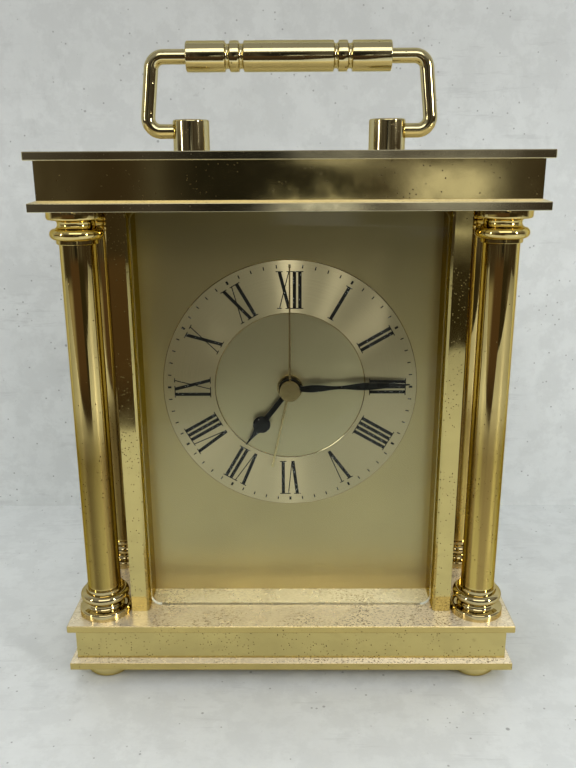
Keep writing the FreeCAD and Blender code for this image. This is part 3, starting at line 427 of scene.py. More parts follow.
def black_paint(name, color=(0.006, 0.006, 0.005), roughness=0.32, dust=0.25):
    """Black lacquer with a few pale specks of dust."""
    material, n, shader = new_material(name, color, roughness)
    shader.inputs["Specular IOR Level"].default_value = 0.12
    place = n.place()
    spots = specks(n, place, 2000.0, 0.25, dust, 90.0)
    n.link(n.mix(spots, rgba(color), rgba((0.80, 0.78, 0.72))), shader.inputs["Base Color"])
    n.link(n.ramp(n.noise(place, 400.0), 0.3, 0.7, roughness * 0.7, roughness * 1.4),
           shader.inputs["Roughness"])
    n.link(n.bump(n.noise(place, 1500.0, 2.0), 0.002), shader.inputs["Normal"])
    return material


def plastic(name, color, roughness):
    """Moulded plastic with a fine spark-eroded grain."""
    material, n, shader = new_material(name, color, roughness)
    place = n.place()
    cloud = n.ramp(n.noise(place, 90.0), 0.3, 0.7)
    n.link(n.mix(cloud, rgba(color, 0.85), rgba(color)), shader.inputs["Base Color"])
    n.link(n.ramp(n.noise(place, 300.0), 0.3, 0.7, roughness * 0.85, roughness * 1.15),
           shader.inputs["Roughness"])
    n.link(n.bump(n.noise(place, 2200.0, 2.0), 0.02), shader.inputs["Normal"])
    return material


def plated(name, color, roughness):
    """Plated or bare metal with light scratches."""
    material, n, shader = new_material(name, color, roughness, 1.0)
    scratches = n.noise(n.place(scale=(1, 1, 12)), 500.0, 3.0)
    stains = n.ramp(n.noise(n.place(), 110.0), 0.35, 0.7)
    n.link(n.mix(stains, rgba(color, 0.8), rgba(color)), shader.inputs["Base Color"])
    n.link(n.ramp(scratches, 0.25, 0.75, roughness * 0.75, roughness * 1.3), shader.inputs["Roughness"])
    n.link(n.bump(scratches, 0.01), shader.inputs["Normal"])
    return material


def winding(name, color):
    """Enamelled wire wound round X, with painted shade in the grooves between turns."""
    material, n, shader = new_material(name, color, 0.3, 0.9)
    wave = n.add("ShaderNodeTexWave", bands_direction="X", wave_profile="SIN")
    n.link(n.place(), wave.inputs["Vector"])
    wave.inputs["Scale"].default_value = 2600.0
    wave.inputs["Distortion"].default_value = 0.4
    # Painted shade: the colour darkens in the grooves between the turns.
    n.link(n.mix(wave.outputs["Fac"], rgba(color, 0.4), rgba(color)), shader.inputs["Base Color"])
    n.link(n.bump(wave.outputs["Fac"], 0.05), shader.inputs["Normal"])
    return material


def jacket(name):
    """Plain cell jacket: dark with one pale band near the plus end, and a bare steel rim."""
    material, n, shader = new_material(name, (0.03, 0.05, 0.09), 0.28)
    band_from, rim_from = 15.5, 23.4
    along = n.split(n.place())["X"]
    band = n.math("GREATER_THAN", along, band_from * MM)
    rim = n.math("GREATER_THAN", along, rim_from * MM)
    grime = n.ramp(n.noise(n.place(), 150.0), 0.3, 0.7)
    dark = n.mix(grime, rgba((0.025, 0.04, 0.07)), rgba((0.035, 0.055, 0.10)))
    banded = n.mix(band, dark, rgba((0.55, 0.56, 0.55)))
    n.link(n.mix(rim, banded, rgba((0.75, 0.74, 0.70))), shader.inputs["Base Color"])
    n.link(rim, shader.inputs["Metallic"])
    n.link(n.ramp(grime, 0.0, 1.0, 0.22, 0.34), shader.inputs["Roughness"])
    return material


def laminate(name):
    """Green circuit board with paler tracks."""
    material, n, shader = new_material(name, (0.02, 0.16, 0.06), 0.35)
    tracks = n.add("ShaderNodeTexBrick", offset=0.37)
    n.link(n.place(rotation=(math.pi / 2, 0, 0)), tracks.inputs["Vector"])
    tracks.inputs["Scale"].default_value = 320.0
    tracks.inputs["Mortar Size"].default_value = 0.03
    tracks.inputs["Color1"].default_value = rgba((0.02, 0.15, 0.06))
    tracks.inputs["Color2"].default_value = rgba((0.03, 0.19, 0.08))
    tracks.inputs["Mortar"].default_value = rgba((0.10, 0.36, 0.16))
    n.link(tracks.outputs["Color"], shader.inputs["Base Color"])
    return material


def clear_glass(name):
    """Float glass with a faint green edge. Lamps shine through it on to the dial."""
    material, n, shader = new_material(name, (0.93, 0.98, 0.95), 0.0)
    shader.inputs["IOR"].default_value = 1.18
    edge = n.math("LESS_THAN", n.math("ABSOLUTE", n.facing()["Y"]), 0.5)
    n.link(n.minus(1.0, n.times(edge, 0.55)), shader.inputs["Transmission Weight"])
    n.link(n.times(edge, 0.35), shader.inputs["Roughness"])
    n.link(n.bump(n.noise(n.place(), 30.0, 1.0), 0.004), shader.inputs["Normal"])
    path = n.add("ShaderNodeLightPath")
    passing = n.add("ShaderNodeBsdfTransparent")
    n.surface(n.blend(path.outputs["Is Shadow Ray"], shader.outputs["BSDF"], passing.outputs["BSDF"]))
    return material


def enamel(name, color):
    """Sprayed satin paint with a light orange peel."""
    material, n, shader = new_material(name, color, 0.42)
    place = n.place()
    n.link(n.mix(n.ramp(n.noise(place, 40.0), 0.3, 0.7), rgba(color, 0.8), rgba(color)),
           shader.inputs["Base Color"])
    n.link(n.ramp(n.noise(place, 90.0, 4.0), 0.3, 0.7, 0.36, 0.5), shader.inputs["Roughness"])
    n.link(n.bump(n.noise(place, 700.0, 2.0), 0.03), shader.inputs["Normal"])
    return material


base_look = dict(color=(0.62, 0.49, 0.18), roughness=0.09, pits=0.9, haze=0.14, dusty=(1.0, 0.89, 0.65),
                 tarnish=0.9)
materials = {
    "lacquered_brass": brass("lacquered_brass"),
    "pale_brass": brass("pale_brass", color=(0.69, 0.60, 0.33), roughness=0.07),
    "column_brass": worn_brass("column_brass"),
    "dusty_brass": brass("dusty_brass", color=(0.68, 0.61, 0.39), roughness=0.09, dust=0.5,
                         dusty=(0.74, 0.66, 0.42)),
    "pitted_brass": brass("pitted_brass", dust=0.45, **base_look),
    "ledge_brass": brass("ledge_brass", dust=0.65, **base_look),
    "panel_brass": brass("panel_brass", color=(0.63, 0.52, 0.205), pits=1.0),
    "dial_brass": brushed_brass("dial_brass", (0.50, 0.40, 0.20), 0.34, (0.4, 1, 3.0), pits=0.0),
    "disc_brass": brushed_brass("disc_brass", (0.53, 0.455, 0.27), 0.34, (0.4, 1, 3.0), pits=0.0),
    "ring_brass": spun_brass("ring_brass", (0.56, 0.465, 0.28), 0.29),
    "brass_fitting": plated("brass_fitting", (0.72, 0.58, 0.28), 0.25),
    "hand_brass": plated("hand_brass", (0.60, 0.47, 0.22), 0.2),
    "sounder_brass": plated("sounder_brass", (0.78, 0.66, 0.36), 0.3),
    "steel": plated("steel", (0.62, 0.62, 0.60), 0.28),
    "nickel_plate": plated("nickel_plate", (0.76, 0.75, 0.71), 0.18),
    "magnet_alloy": plated("magnet_alloy", (0.30, 0.30, 0.32), 0.38),
    "copper_wire": winding("copper_wire", (0.60, 0.22, 0.09)),
    "black_enamel": enamel("black_enamel", (0.022, 0.021, 0.020)),
    "black_lacquer": black_paint("black_lacquer"),
    "print_black": black_paint("print_black", roughness=0.5, dust=1.2),
    "clear_glass": clear_glass("clear_glass"),
    "rubber": plastic("rubber", (0.03, 0.03, 0.03), 0.7),
    "black_plastic": plastic("black_plastic", (0.028, 0.028, 0.030), 0.45),
    "grey_plastic": plastic("grey_plastic", (0.30, 0.30, 0.30), 0.42),
    "white_plastic": plastic("white_plastic", (0.80, 0.78, 0.72), 0.38),
    "battery_jacket": jacket("battery_jacket"),
    "board_laminate": laminate("board_laminate"),
}
own_finish = {
    "base_bottom_plate": "ledge_brass",
    "base_frame": "panel_brass",
    "base_top_plate": "pitted_brass",
    "side_panel_left": "panel_brass",
    "side_panel_right": "panel_brass",
    "top_cover_plate": "dusty_brass",
    "top_lower_plate": "dusty_brass",
    "handle_post_left": "pale_brass",
    "handle_post_right": "pale_brass",
}


def dress_cad_nodes():
    """Gives each CAD node the material of its slot, or one of its own."""
    slots = {item["node"]: item["material_slot"] for item in frame["record"]["subparts"]}
    for name, piece in nodes.items():
        material = materials[own_finish.get(name, slots[name])]
        for slot in piece.material_slots:
            slot.material = material
        if not piece.material_slots:
            piece.data.materials.append(material)


def soften(name, width):
    """Rounds the sharp edges of a CAD node in the render only."""
    piece = nodes[name]
    weld = piece.modifiers.new("weld", "WELD")
    weld.merge_threshold = WELD_REACH * MM
    bevel = piece.modifiers.new("edge", "BEVEL")
    bevel.width = width * MM
    bevel.segments = 2
    bevel.limit_method = "ANGLE"
    bevel.angle_limit = math.radians(SHARP_ANGLE)
    bevel.harden_normals = True


# Mesh helpers
def make_piece(name, points, faces, finish, body):
    """Mesh piece from points in millimetres that rides on a body."""
    mesh = bpy.data.meshes.new(name)
    mesh.from_pydata([Vector(p) * MM for p in points], [], faces)
    mesh.validate()
    build = bmesh.new()
    build.from_mesh(mesh)
    bmesh.ops.recalc_face_normals(build, faces=build.faces)
    build.to_mesh(mesh)
    build.free()
    mesh.materials.append(materials[finish])
    mesh.polygons.foreach_set("use_smooth", [True] * len(mesh.polygons))
    mesh.set_sharp_from_angle(angle=math.radians(SHARP_ANGLE))
    piece = bpy.data.objects.new(name, mesh)
    bpy.context.scene.collection.objects.link(piece)
    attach(piece, body)
    return piece


def arc(centre, radius, start, end, steps):
    """Points of an arc in a flat (across, along) drawing, angles in degrees from the across axis."""
    points = []
    for i in range(steps + 1):
        turn = math.radians(start + (end - start) * i / steps)
        points.append((centre[0] + radius * math.cos(turn), centre[1] + radius * math.sin(turn)))
    return points


def arc_through(a, peak, b, steps):
    """Arc from a to b whose middle bulges to the given radius. All three are (across, along)."""
    chord = (b[1] - a[1]) / 2
    rise = peak - a[0]
    radius = (chord * chord + rise * rise) / (2 * abs(rise))
    side = 1 if rise > 0 else -1
    centre = (peak - side * radius, (a[1] + b[1]) / 2)
    half = math.degrees(math.asin(min(1.0, abs(chord) / radius)))
    if abs(rise) > abs(chord):
        half = 180 - half
    middle = 0 if side > 0 else 180
    way = 1 if (chord > 0) == (side > 0) else -1
    return arc(centre, radius, middle - way * half, middle + way * half, steps)


def turned(name, profile, centre, finish, body, axis="Z", steps=FINE_STEPS, closed=False):
    """Lathe-turned piece. profile holds (radius, along) from one end to the other.
    A closed one runs back to its start, which leaves a bore. An open one gets flat ends."""
    points, faces = [], []
    for i in range(steps):
        turn = 2 * math.pi * i / steps
        c, s = math.cos(turn), math.sin(turn)
        for radius, along in profile:
            across = (radius * c, radius * s)
            if axis == "Z":
                place = (across[0], across[1], along)
            elif axis == "X":
                place = (along, across[0], across[1])
            else:
                place = (across[0], along, across[1])
            points.append(tuple(p + q for p, q in zip(place, centre)))
    size = len(profile)
    last = size if closed else size - 1
    for i in range(steps):
        here, there = i * size, (i + 1) % steps * size
        for k in range(last):
            up = (k + 1) % size
            faces.append((here + k, there + k, there + up, here + up))
    if not closed:
        faces.append([i * size for i in range(steps)])
        faces.append([i * size + size - 1 for i in range(steps)])
    return make_piece(name, points, faces, finish, body)


def slab(name, outline, y_front, y_back, finish, body, edge):
    """Flat piece from an (x, z) outline, with a bevel on its front edge."""
    count = len(outline)
    points = [(x, y_back, z) for x, z in outline]
    faces = [list(range(count))]
    mesh_rows = [list(range(count))]
    for inset, y in ((0.0, y_front + edge), (edge, y_front)):
        start = len(points)
        points += [(x, y, z) for x, z in inset_outline(outline, inset)]
        mesh_rows.append(list(range(start, start + count)))
    for a, b in zip(mesh_rows, mesh_rows[1:]):
        for i in range(count):
            j = (i + 1) % count
            faces.append((a[i], a[j], b[j], b[i]))
    faces.append(mesh_rows[-1][::-1])
    return make_piece(name, points, faces, finish, body)


def inset_outline(outline, amount):
    """Outline moved inwards by an amount, corner by corner. A sharp corner moves at most twice as far."""
    if not amount:
        return list(outline)
    area = sum(a[0] * b[1] - b[0] * a[1] for a, b in zip(outline, outline[1:] + outline[:1]))
    side = 1 if area > 0 else -1
    moved = []
    for before, here, after in zip(outline[-1:] + outline[:-1], outline, outline[1:] + outline[:1]):
        u = Vector((here[0] - before[0], here[1] - before[1])).normalized()
        v = Vector((after[0] - here[0], after[1] - here[1])).normalized()
        n = Vector((-(u.y + v.y), u.x + v.x))
        if n.length < 1e-6:
            n = Vector((-u.y, u.x))
        n.normalize()
        scale = 1 / max(0.5, n.dot(Vector((-u.y, u.x))))
        moved.append((here[0] + side * n.x * amount * scale, here[1] + side * n.y * amount * scale))
    return moved


def rotated(points, degrees):
    """(x, z) points, measured from the hub, turned clockwise about it, seen from the front."""
    turn = math.radians(degrees)
    c, s = math.cos(turn), math.sin(turn)
    return [(x * c + z * s, HUB_Z - x * s + z * c) for x, z in points]


def extruded(outlines, y_back, y_front):
    """Points and faces of flat (x, z) outlines given a thickness, open where they lie on a piece."""
    points, faces = [], []
    for outline in outlines:
        start, count = len(points), len(outline)
        points += [(x, y_back, z) for x, z in outline]
        points += [(x, y_front, z) for x, z in outline]
        faces.append([start + count + i for i in range(count)])
        for i in range(count):
            j = (i + 1) % count
            faces.append((start + i, start + j, start + count + j, start + count + i))
    return points, faces


# Case pieces
def column_end():
    """Turned end, from the plate at 0 towards the shaft."""
    steps = 10
    neck_low = DISC_HEIGHT
    bead_low = neck_low + NECK_HEIGHT
    bead_high = bead_low + BEAD_HEIGHT
    collar_high = bead_high + COLLAR_HEIGHT
    mouth = BEAD_RADIUS - BEAD_HEIGHT / 2
    bead_middle = (bead_low + bead_high) / 2
    profile = [(DISC_RADIUS, 0.0)]
    rim = (DISC_RADIUS - DISC_EDGE_ROUND, DISC_HEIGHT - DISC_EDGE_ROUND)
    profile += arc(rim, DISC_EDGE_ROUND, 0, 90, steps=6)
    profile += arc_through((mouth, neck_low), NECK_RADIUS, (mouth, bead_low), steps)
    profile += arc((mouth, bead_middle), BEAD_HEIGHT / 2, -90, 90, steps * 2)
    profile += [(COLLAR_RADIUS, bead_high), (COLLAR_RADIUS, collar_high - COLLAR_BREAK)]
    profile += [(COLLAR_RADIUS - COLLAR_BREAK, collar_high), (SHAFT_RADIUS, collar_high)]
    return profile


def columns():
    """Four turned columns in place of the CAD ones, with finer facets."""
    for name in ("column_front_left", "column_front_right", "column_rear_left", "column_rear_right"):
        low, high = (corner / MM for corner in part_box(name))
        height = high.z - low.z
        lower = column_end()
        upper = [(r, height - z) for r, z in lower[::-1]]
        centre = ((low.x + high.x) / 2, (low.y + high.y) / 2, low.z)
        piece = turned(name + "_turned", lower + upper, centre, "column_brass", "case")
        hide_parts(name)


def feet():
    """Four bun feet in place of the CAD ones."""
    low, high = (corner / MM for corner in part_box("feet"))
    profile = [(FOOT_SOLE_RADIUS, 0.0)] + bun_arc()
    for i, x in enumerate((low.x + FOOT_RADIUS, high.x - FOOT_RADIUS)):
        for k, y in enumerate((low.y + FOOT_RADIUS, high.y - FOOT_RADIUS)):
            piece = turned(f"foot_{i}{k}", profile, (x, y, 0.0), "lacquered_brass", "case")
            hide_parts("feet")


def bun_arc():
    """Side of a bun foot: an arc from the sole through the widest point to the neck."""
    a = Vector((FOOT_SOLE_RADIUS, 0.0))
    b = Vector((FOOT_RADIUS, FOOT_HEIGHT / 2))
    c = Vector((FOOT_NECK_RADIUS, FOOT_HEIGHT))
    d = 2 * (a.x * (b.y - c.y) + b.x * (c.y - a.y) + c.x * (a.y - b.y))
    ux = (a.dot(a) * (b.y - c.y) + b.dot(b) * (c.y - a.y) + c.dot(c) * (a.y - b.y)) / d
    uy = (a.dot(a) * (c.x - b.x) + b.dot(b) * (a.x - c.x) + c.dot(c) * (b.x - a.x)) / d
    centre = Vector((ux, uy))
    start = math.degrees(math.atan2(a.y - uy, a.x - ux))
    end = math.degrees(math.atan2(c.y - uy, c.x - ux))
    return arc((centre.x, centre.y), (a - centre).length, start, end, steps=16)


# Handle pieces
def bail_path():
    """Centre line of the bent wire in the plane y = 0, with rounded corners."""
    corners = [(-PIN_END, PIVOT_Z), (-LEG_FOOT, PIVOT_Z), (-LEG_HEAD, GRIP_Z), (LEG_HEAD, GRIP_Z),
               (LEG_FOOT, PIVOT_Z), (PIN_END, PIVOT_Z)]
    corners = [Vector(c) for c in corners]
    path = [corners[0]]
    for before, here, after in zip(corners, corners[1:], corners[2:]):
        u = (before - here).normalized()
        v = (after - here).normalized()
        half = u.angle(v) / 2
        centre = here + (u + v).normalized() * BEND_RADIUS / math.sin(half)
        a = here + u * BEND_RADIUS / math.tan(half) - centre
        b = here + v * BEND_RADIUS / math.tan(half) - centre
        steps = 24
        for i in range(steps + 1):
            path.append(centre + a.slerp(b, i / steps) * BEND_RADIUS)
    path.append(corners[-1])
    return path


def bail():
    """Bent wire of round section along its centre line."""
    path, sides = bail_path(), 48
    points, faces = [], []
    for i, here in enumerate(path):
        before, after = path[max(0, i - 1)], path[min(len(path) - 1, i + 1)]
        along = (after - before).normalized()
        outward = Vector((-along.y, along.x))
        for k in range(sides):
            turn = 2 * math.pi * k / sides
            across, deep = math.cos(turn) * WIRE_RADIUS, math.sin(turn) * WIRE_RADIUS
            points.append((here.x + outward.x * across, deep, here.y + outward.y * across))
    for i in range(len(path) - 1):
        for k in range(sides):
            m = (k + 1) % sides
            faces.append((i * sides + k, i * sides + m, (i + 1) * sides + m, (i + 1) * sides + k))
    faces.append(list(range(sides)))
    faces.append([(len(path) - 1) * sides + k for k in range(sides)])
    piece = make_piece("handle_wire", points, faces, "pale_brass", "handle")
    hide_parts("handle_bail")


def groove(x0, x1):
    """Round groove across the sleeve, with softly broken edges, as (radius, along)."""
    lip = GRIP_RADIUS - GROOVE_LIP
    floor = arc_through((lip, x0), GRIP_RADIUS - GROOVE_DEPTH, (lip, x1), steps=12)
    return [(GRIP_RADIUS, x0 - GRIP_EDGE)] + floor + [(GRIP_RADIUS, x1 + GRIP_EDGE)]


def grip():
    """Turned sleeve: a bead between two round grooves near each end."""
    bead_low = GROOVE_AT + GROOVE_WIDTH
    bead_high = bead_low + GRIP_BEAD_WIDTH
    last = bead_high + GROOVE_WIDTH
    e = GRIP_EDGE
    half = [(GRIP_RADIUS, 0.0)]
    half += groove(GROOVE_AT, bead_low)
    half += [(GRIP_RADIUS + BEAD_CROWN, (bead_low + bead_high) / 2)]
    half += groove(bead_high, last)
    half += [(GRIP_RADIUS, GRIP_HALF_LENGTH - e)]
    half += arc((GRIP_RADIUS - e, GRIP_HALF_LENGTH - e), e, 0, 90, steps=5)[1:]
    half += [(WIRE_RADIUS + BORE_GAP, GRIP_HALF_LENGTH)]
    profile = [(r, -x) for r, x in half[::-1]] + half[1:]
    piece = turned("handle_sleeve", profile, (0.0, 0.0, GRIP_Z), "pale_brass", "handle", axis="X",
                   closed=True)
    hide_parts("handle_grip")


# Dial pieces
def annulus(inner, outer, back, front, bevel):
    """Profile of a flat ring with bevelled front edges, as (radius, y)."""
    return [(inner, back), (inner, front + bevel), (inner + bevel, front), (outer - bevel, front),
            (outer, front + bevel), (outer, back)]


def dial_rings():
    """Raised hour ring, and the thin brushed disc inside it."""
    ring = turned("hour_ring", annulus(RING_INNER, RING_OUTER, DIAL_Y, RING_Y, RING_BEVEL),
                  (0.0, 0.0, HUB_Z), "ring_brass", "case", axis="Y", steps=DIAL_STEPS, closed=True)
    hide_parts("chapter_ring")
    disc = annulus(DISC_INNER, RING_INNER - DISC_GAP, DIAL_Y, DIAL_Y - DISC_RISE, DISC_BEVEL)
    turned("dial_centre", disc, (0.0, 0.0, HUB_Z), "disc_brass", "case", axis="Y", steps=DIAL_STEPS,
           closed=True)


class Numeral:
    """Roman numeral from thick and thin strokes, drawn upright with its foot at 0."""

    def __init__(self, letters):
        self.strokes = []
        self.height = NUMERAL_OUTER - NUMERAL_INNER
        x = 0.0
        for i, letter in enumerate(letters):
            if i:
                x += STROKE_PITCH
            x = getattr(self, "letter_" + letter)(x)
        self.width = x

    def stroke(self, x_top, x_foot, width):
        self.strokes.append((x_top, x_foot, width))

    def letter_I(self, x):
        self.stroke(x, x, THICK_STROKE)
        return x

    def letter_V(self, x):
        self.stroke(x, x + LETTER_WIDTH / 2, THICK_STROKE)
        self.stroke(x + LETTER_WIDTH, x + LETTER_WIDTH / 2 + THICK_STROKE / 4, THIN_STROKE)
        return x + LETTER_WIDTH

    def letter_X(self, x):
        self.stroke(x, x + LETTER_WIDTH, THICK_STROKE)
        self.stroke(x + LETTER_WIDTH, x, THIN_STROKE)
        return x + LETTER_WIDTH

    def quads(self):
        """Four-cornered outlines of all strokes and serifs, centred on 0."""
        shapes = []
        for x_top, x_foot, width in self.strokes:
            half = width / 2
            shapes.append([(x_foot - half, 0.0), (x_foot + half, 0.0), (x_top + half, self.height),
                           (x_top - half, self.height)])
            reach = half + SERIF_REACH
            shapes.append(self.bar(x_top, self.height - SERIF_HEIGHT, reach))
            if not self.is_point(x_foot):
                shapes.append(self.bar(x_foot, 0.0, reach))
        return [[(x - self.width / 2, z) for x, z in shape] for shape in shapes]

    def is_point(self, x_foot):
        """True where the two strokes of a V meet."""
        near = [s for s in self.strokes if abs(s[1] - x_foot) < THICK_STROKE / 2]
        return len(near) > 1

    def bar(self, x, z, reach):
        """Serif that starts at height z."""
        top = z + SERIF_HEIGHT
        return [(x - reach, z), (x + reach, z), (x + reach, top), (x - reach, top)]


def printed(name, shapes):
    """Thin raised ink from (x, z) outlines on the hour ring."""
    points, faces = extruded(shapes, RING_Y, RING_Y - PRINT_HEIGHT)
    make_piece(name, points, faces, "print_black", "case")


def numerals():
    """Twelve numerals that all read from the centre outwards."""
    hours = ("XII", "I", "II", "III", "IIII", "V", "VI", "VII", "VIII", "IX", "X", "XI")
    for hour, letters in enumerate(hours):
        shapes = []
        for quad in Numeral(letters).quads():
            lifted = [(x, NUMERAL_INNER + z) for x, z in quad]
            shapes.append(rotated(lifted, hour * 30))
        printed(f"numeral_{hour:02d}", shapes)


def minute_track():
    """Ring of sixty dashes, wider at the hours."""
    shapes = []
    for minute in range(60):
        on_hour = minute % 5 == 0
        half = HOUR_TICK_HALF_WIDTH if on_hour else TICK_HALF_WIDTH
        inner = TICK_INNER - (HOUR_TICK_LONGER if on_hour else 0.0)
        dash = [(-half, inner), (half, inner), (half, TICK_OUTER), (-half, TICK_OUTER)]
        shapes.append(rotated(dash, minute * 6))
    printed("minute_track", shapes)


# Hands
def smooth_widths(stations, steps):
    """Widths between stations by a smooth curve through them."""
    result = []
    last = len(stations) - 1
    for i in range(last):
        p0, p1 = stations[max(0, i - 1)], stations[i]
        p2, p3 = stations[i + 1], stations[min(last, i + 2)]
        for k in range(steps):
            t = k / steps
            value = []
            for a, b, c, d in zip(p0, p1, p2, p3):
                value.append(0.5 * (2 * b + (c - a) * t + (2 * a - 5 * b + 4 * c - d) * t * t
                                    + (3 * b - a - 3 * c + d) * t ** 3))
            result.append(tuple(value))
    result.append(stations[-1])
    return result


def hand(name, node, stations, boss_radius, angle, body):
    """Flat black hand with a boss, at the depth of its CAD node.
    Its outline follows the stations, which are (distance from the hub, width)."""
    _, high = (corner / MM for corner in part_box(node))
    right = [(w / 2, r) for r, w in smooth_widths(stations, steps=5)]
    start = math.asin(min(1.0, right[0][0] / boss_radius))
    sweep = 2 * math.pi - 2 * start
    steps = 48
    boss = []
    for i in range(steps + 1):
        turn = start + sweep * i / steps
        boss.append((boss_radius * math.sin(turn), boss_radius * math.cos(turn)))
    left = [(-x, z) for x, z in right]
    outline = rotated(right[1:] + left[1:][::-1] + boss[::-1], angle)
    return slab(name, outline, high.y - HAND_THICKNESS, high.y, "black_lacquer", body, HAND_BEVEL)


def hands():
    """Minute hand with two swellings, and hour hand with a round bulb."""
    minute = [(2.6, 1.3), (3.6, 1.55), (5.0, 1.95), (6.8, 2.1), (9.0, 1.8), (11.0, 1.3), (13.0, 0.95),
              (14.5, 0.95), (16.5, 1.3), (19.0, 1.9), (21.5, 2.15), (24.0, 2.0), (27.0, 1.5), (30.0, 0.95),
              (MINUTE_LENGTH, TIP_WIDTH)]
    piece = hand("minute_blade", "minute_hand", minute, MINUTE_BOSS_RADIUS, MINUTE_ANGLE, "minutes")
    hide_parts("minute_hand")
    hour = [(2.5, 1.55), (6.0, 1.5), (10.4, 1.5)]
    # The bulb's round sides, from where the stem ends to where the tip starts
    for i in range(13):
        reach = BULB_RADIUS * math.sin(math.radians(-68 + 131 * i / 12))
        hour.append((BULB_AT + reach, 2 * math.sqrt(BULB_RADIUS ** 2 - reach ** 2)))
    hour += [(16.1, 1.75), (17.0, 1.25), (18.3, 0.85), (19.7, 0.55), (21.0, TIP_WIDTH)]
    piece = hand("hour_blade", "hour_hand", hour, HOUR_BOSS_RADIUS, HOUR_ANGLE, "hours")
    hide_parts("hour_hand")


# Back pieces
def knob_arrow(name, node, body, radius, clockwise=True):
    """Raised curved arrow on a setting knob."""
    low, high = (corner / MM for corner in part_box(node))
    cx, cz = (low.x + high.x) / 2, (low.z + high.z) / 2
    side = 1 if clockwise else -1

    def at(reach, turn):
        return cx + side * reach * math.sin(turn), cz + reach * math.cos(turn)

    steps = 24
    spread = [math.radians(ARROW_START + ARROW_SWEEP * i / steps) for i in range(steps + 1)]
    ring = [at(radius + ARROW_HALF_WIDTH, t) for t in spread]
    ring += [at(radius - ARROW_HALF_WIDTH, t) for t in spread[::-1]]
    tip = spread[-1]
    head = [at(radius + ARROW_HEAD_HALF_WIDTH, tip), at(radius - ARROW_HEAD_HALF_WIDTH, tip),
            at(radius, tip + ARROW_HEAD_TURN)]
    points, faces = extruded((ring, head), high.y, high.y + ARROW_HEIGHT)
    make_piece(name, points, faces, "grey_plastic", body)


# Surroundings
def flat_stage(name, corners, material):
    """One flat face of the surroundings, which isn't part of the clock."""
    mesh = bpy.data.meshes.new(name)
    mesh.from_pydata([Vector(c) * MM for c in corners], [], [tuple(range(len(corners)))])
    mesh.materials.append(material)
    piece = bpy.data.objects.new(name, mesh)
    bpy.context.scene.collection.objects.link(piece)


def plaster(name, color, roughness, see_through_back, painted_shade_high=0.0, painted_shade_far=0.0):
    """Pale painted surface with clouds, scuffs, fine scratches and dark specks.
    The last two arguments paint shade on it: darker higher up, and darker away from the clock."""
    material, n, shader = new_material(name, color, roughness)
    place = n.place()
    cloud = n.ramp(n.noise(place, 30.0, 8.0, 0.72), 0.38, 0.60)
    marks = n.math("MAXIMUM", specks(n, place, 330.0, 0.22, 0.13, 14.0),
                   specks(n, place, 700.0, 0.30, 0.14, 30.0))
    tinted = n.mix(cloud, rgba(color, 0.94), rgba(color))
    mottle = n.ramp(n.noise(place, 95.0, 6.0, 0.7), 0.42, 0.56, 0.5, 0.0)
    tinted = n.mix(mottle, tinted, rgba(color, 0.84))
    slanted = n.place(scale=(1, 1, 0.45), rotation=(0.3, 0.5, 0.4))
    scuffs = n.ramp(n.noise(slanted, 34.0, 9.0, 0.72), 0.60, 0.74)
    flakes = n.ramp(n.noise(place, 240.0, 4.0, 0.7), 0.66, 0.72)
    scratches = n.ramp(n.noise(n.place(scale=(0.09, 1, 0.8)), 420.0, 4.0, 0.7), 0.56, 0.66)
    scratches = n.times(scratches, n.ramp(n.noise(place, 26.0, 3.0), 0.42, 0.62, 0.0, 0.8))
    worn = n.math("ADD", n.plus(scuffs, flakes), scratches, clamp=True)
    marks = n.math("MAXIMUM", n.times(marks, 0.8), n.times(worn, 0.24))
    x, y, z = n.split(place)
    shade = rgba((0.1, 0.1, 0.1))
    # Painted shade: darker higher up, and darker further from the clock.
    tinted = n.mix(n.ramp(z, 110 * MM, 210 * MM, 0.0, painted_shade_high), tinted, shade)
    tinted = n.mix(n.ramp(n.length(x, y), 220 * MM, 420 * MM, 0.0, painted_shade_far), tinted, shade)
    n.link(n.mix(marks, tinted, rgba(color, 0.42)), shader.inputs["Base Color"])
    n.link(n.bump(n.noise(place, 160.0, 5.0), 0.12), shader.inputs["Normal"])
    if see_through_back:
        behind = n.add("ShaderNodeNewGeometry").outputs["Backfacing"]
        clear = n.add("ShaderNodeBsdfTransparent")
        n.surface(n.blend(behind, shader.outputs["BSDF"], clear.outputs["BSDF"]))
    return material


def surroundings():
    table = plaster("table_paint", (0.70, 0.735, 0.735), 0.45, False, painted_shade_far=0.4)
    wall = plaster("wall_paint", (0.83, 0.87, 0.87), 0.7, True, 0.22)
    w, h = TABLE_HALF_WIDTH, WALL_HEIGHT
    flat_stage("table_top", [(-w, TABLE_FRONT, 0), (TABLE_CORNER, TABLE_FRONT, 0),
                             (TABLE_FAR_CORNER, TABLE_FAR_FRONT, 0), (w, TABLE_FAR_FRONT, 0),
                             (w, TABLE_BACK, 0), (-w, TABLE_BACK, 0)], table)
    flat_stage("wall", [(-w, WALL_Y, 0), (w, WALL_Y, 0), (w, WALL_Y, h), (-w, WALL_Y, h)], wall)


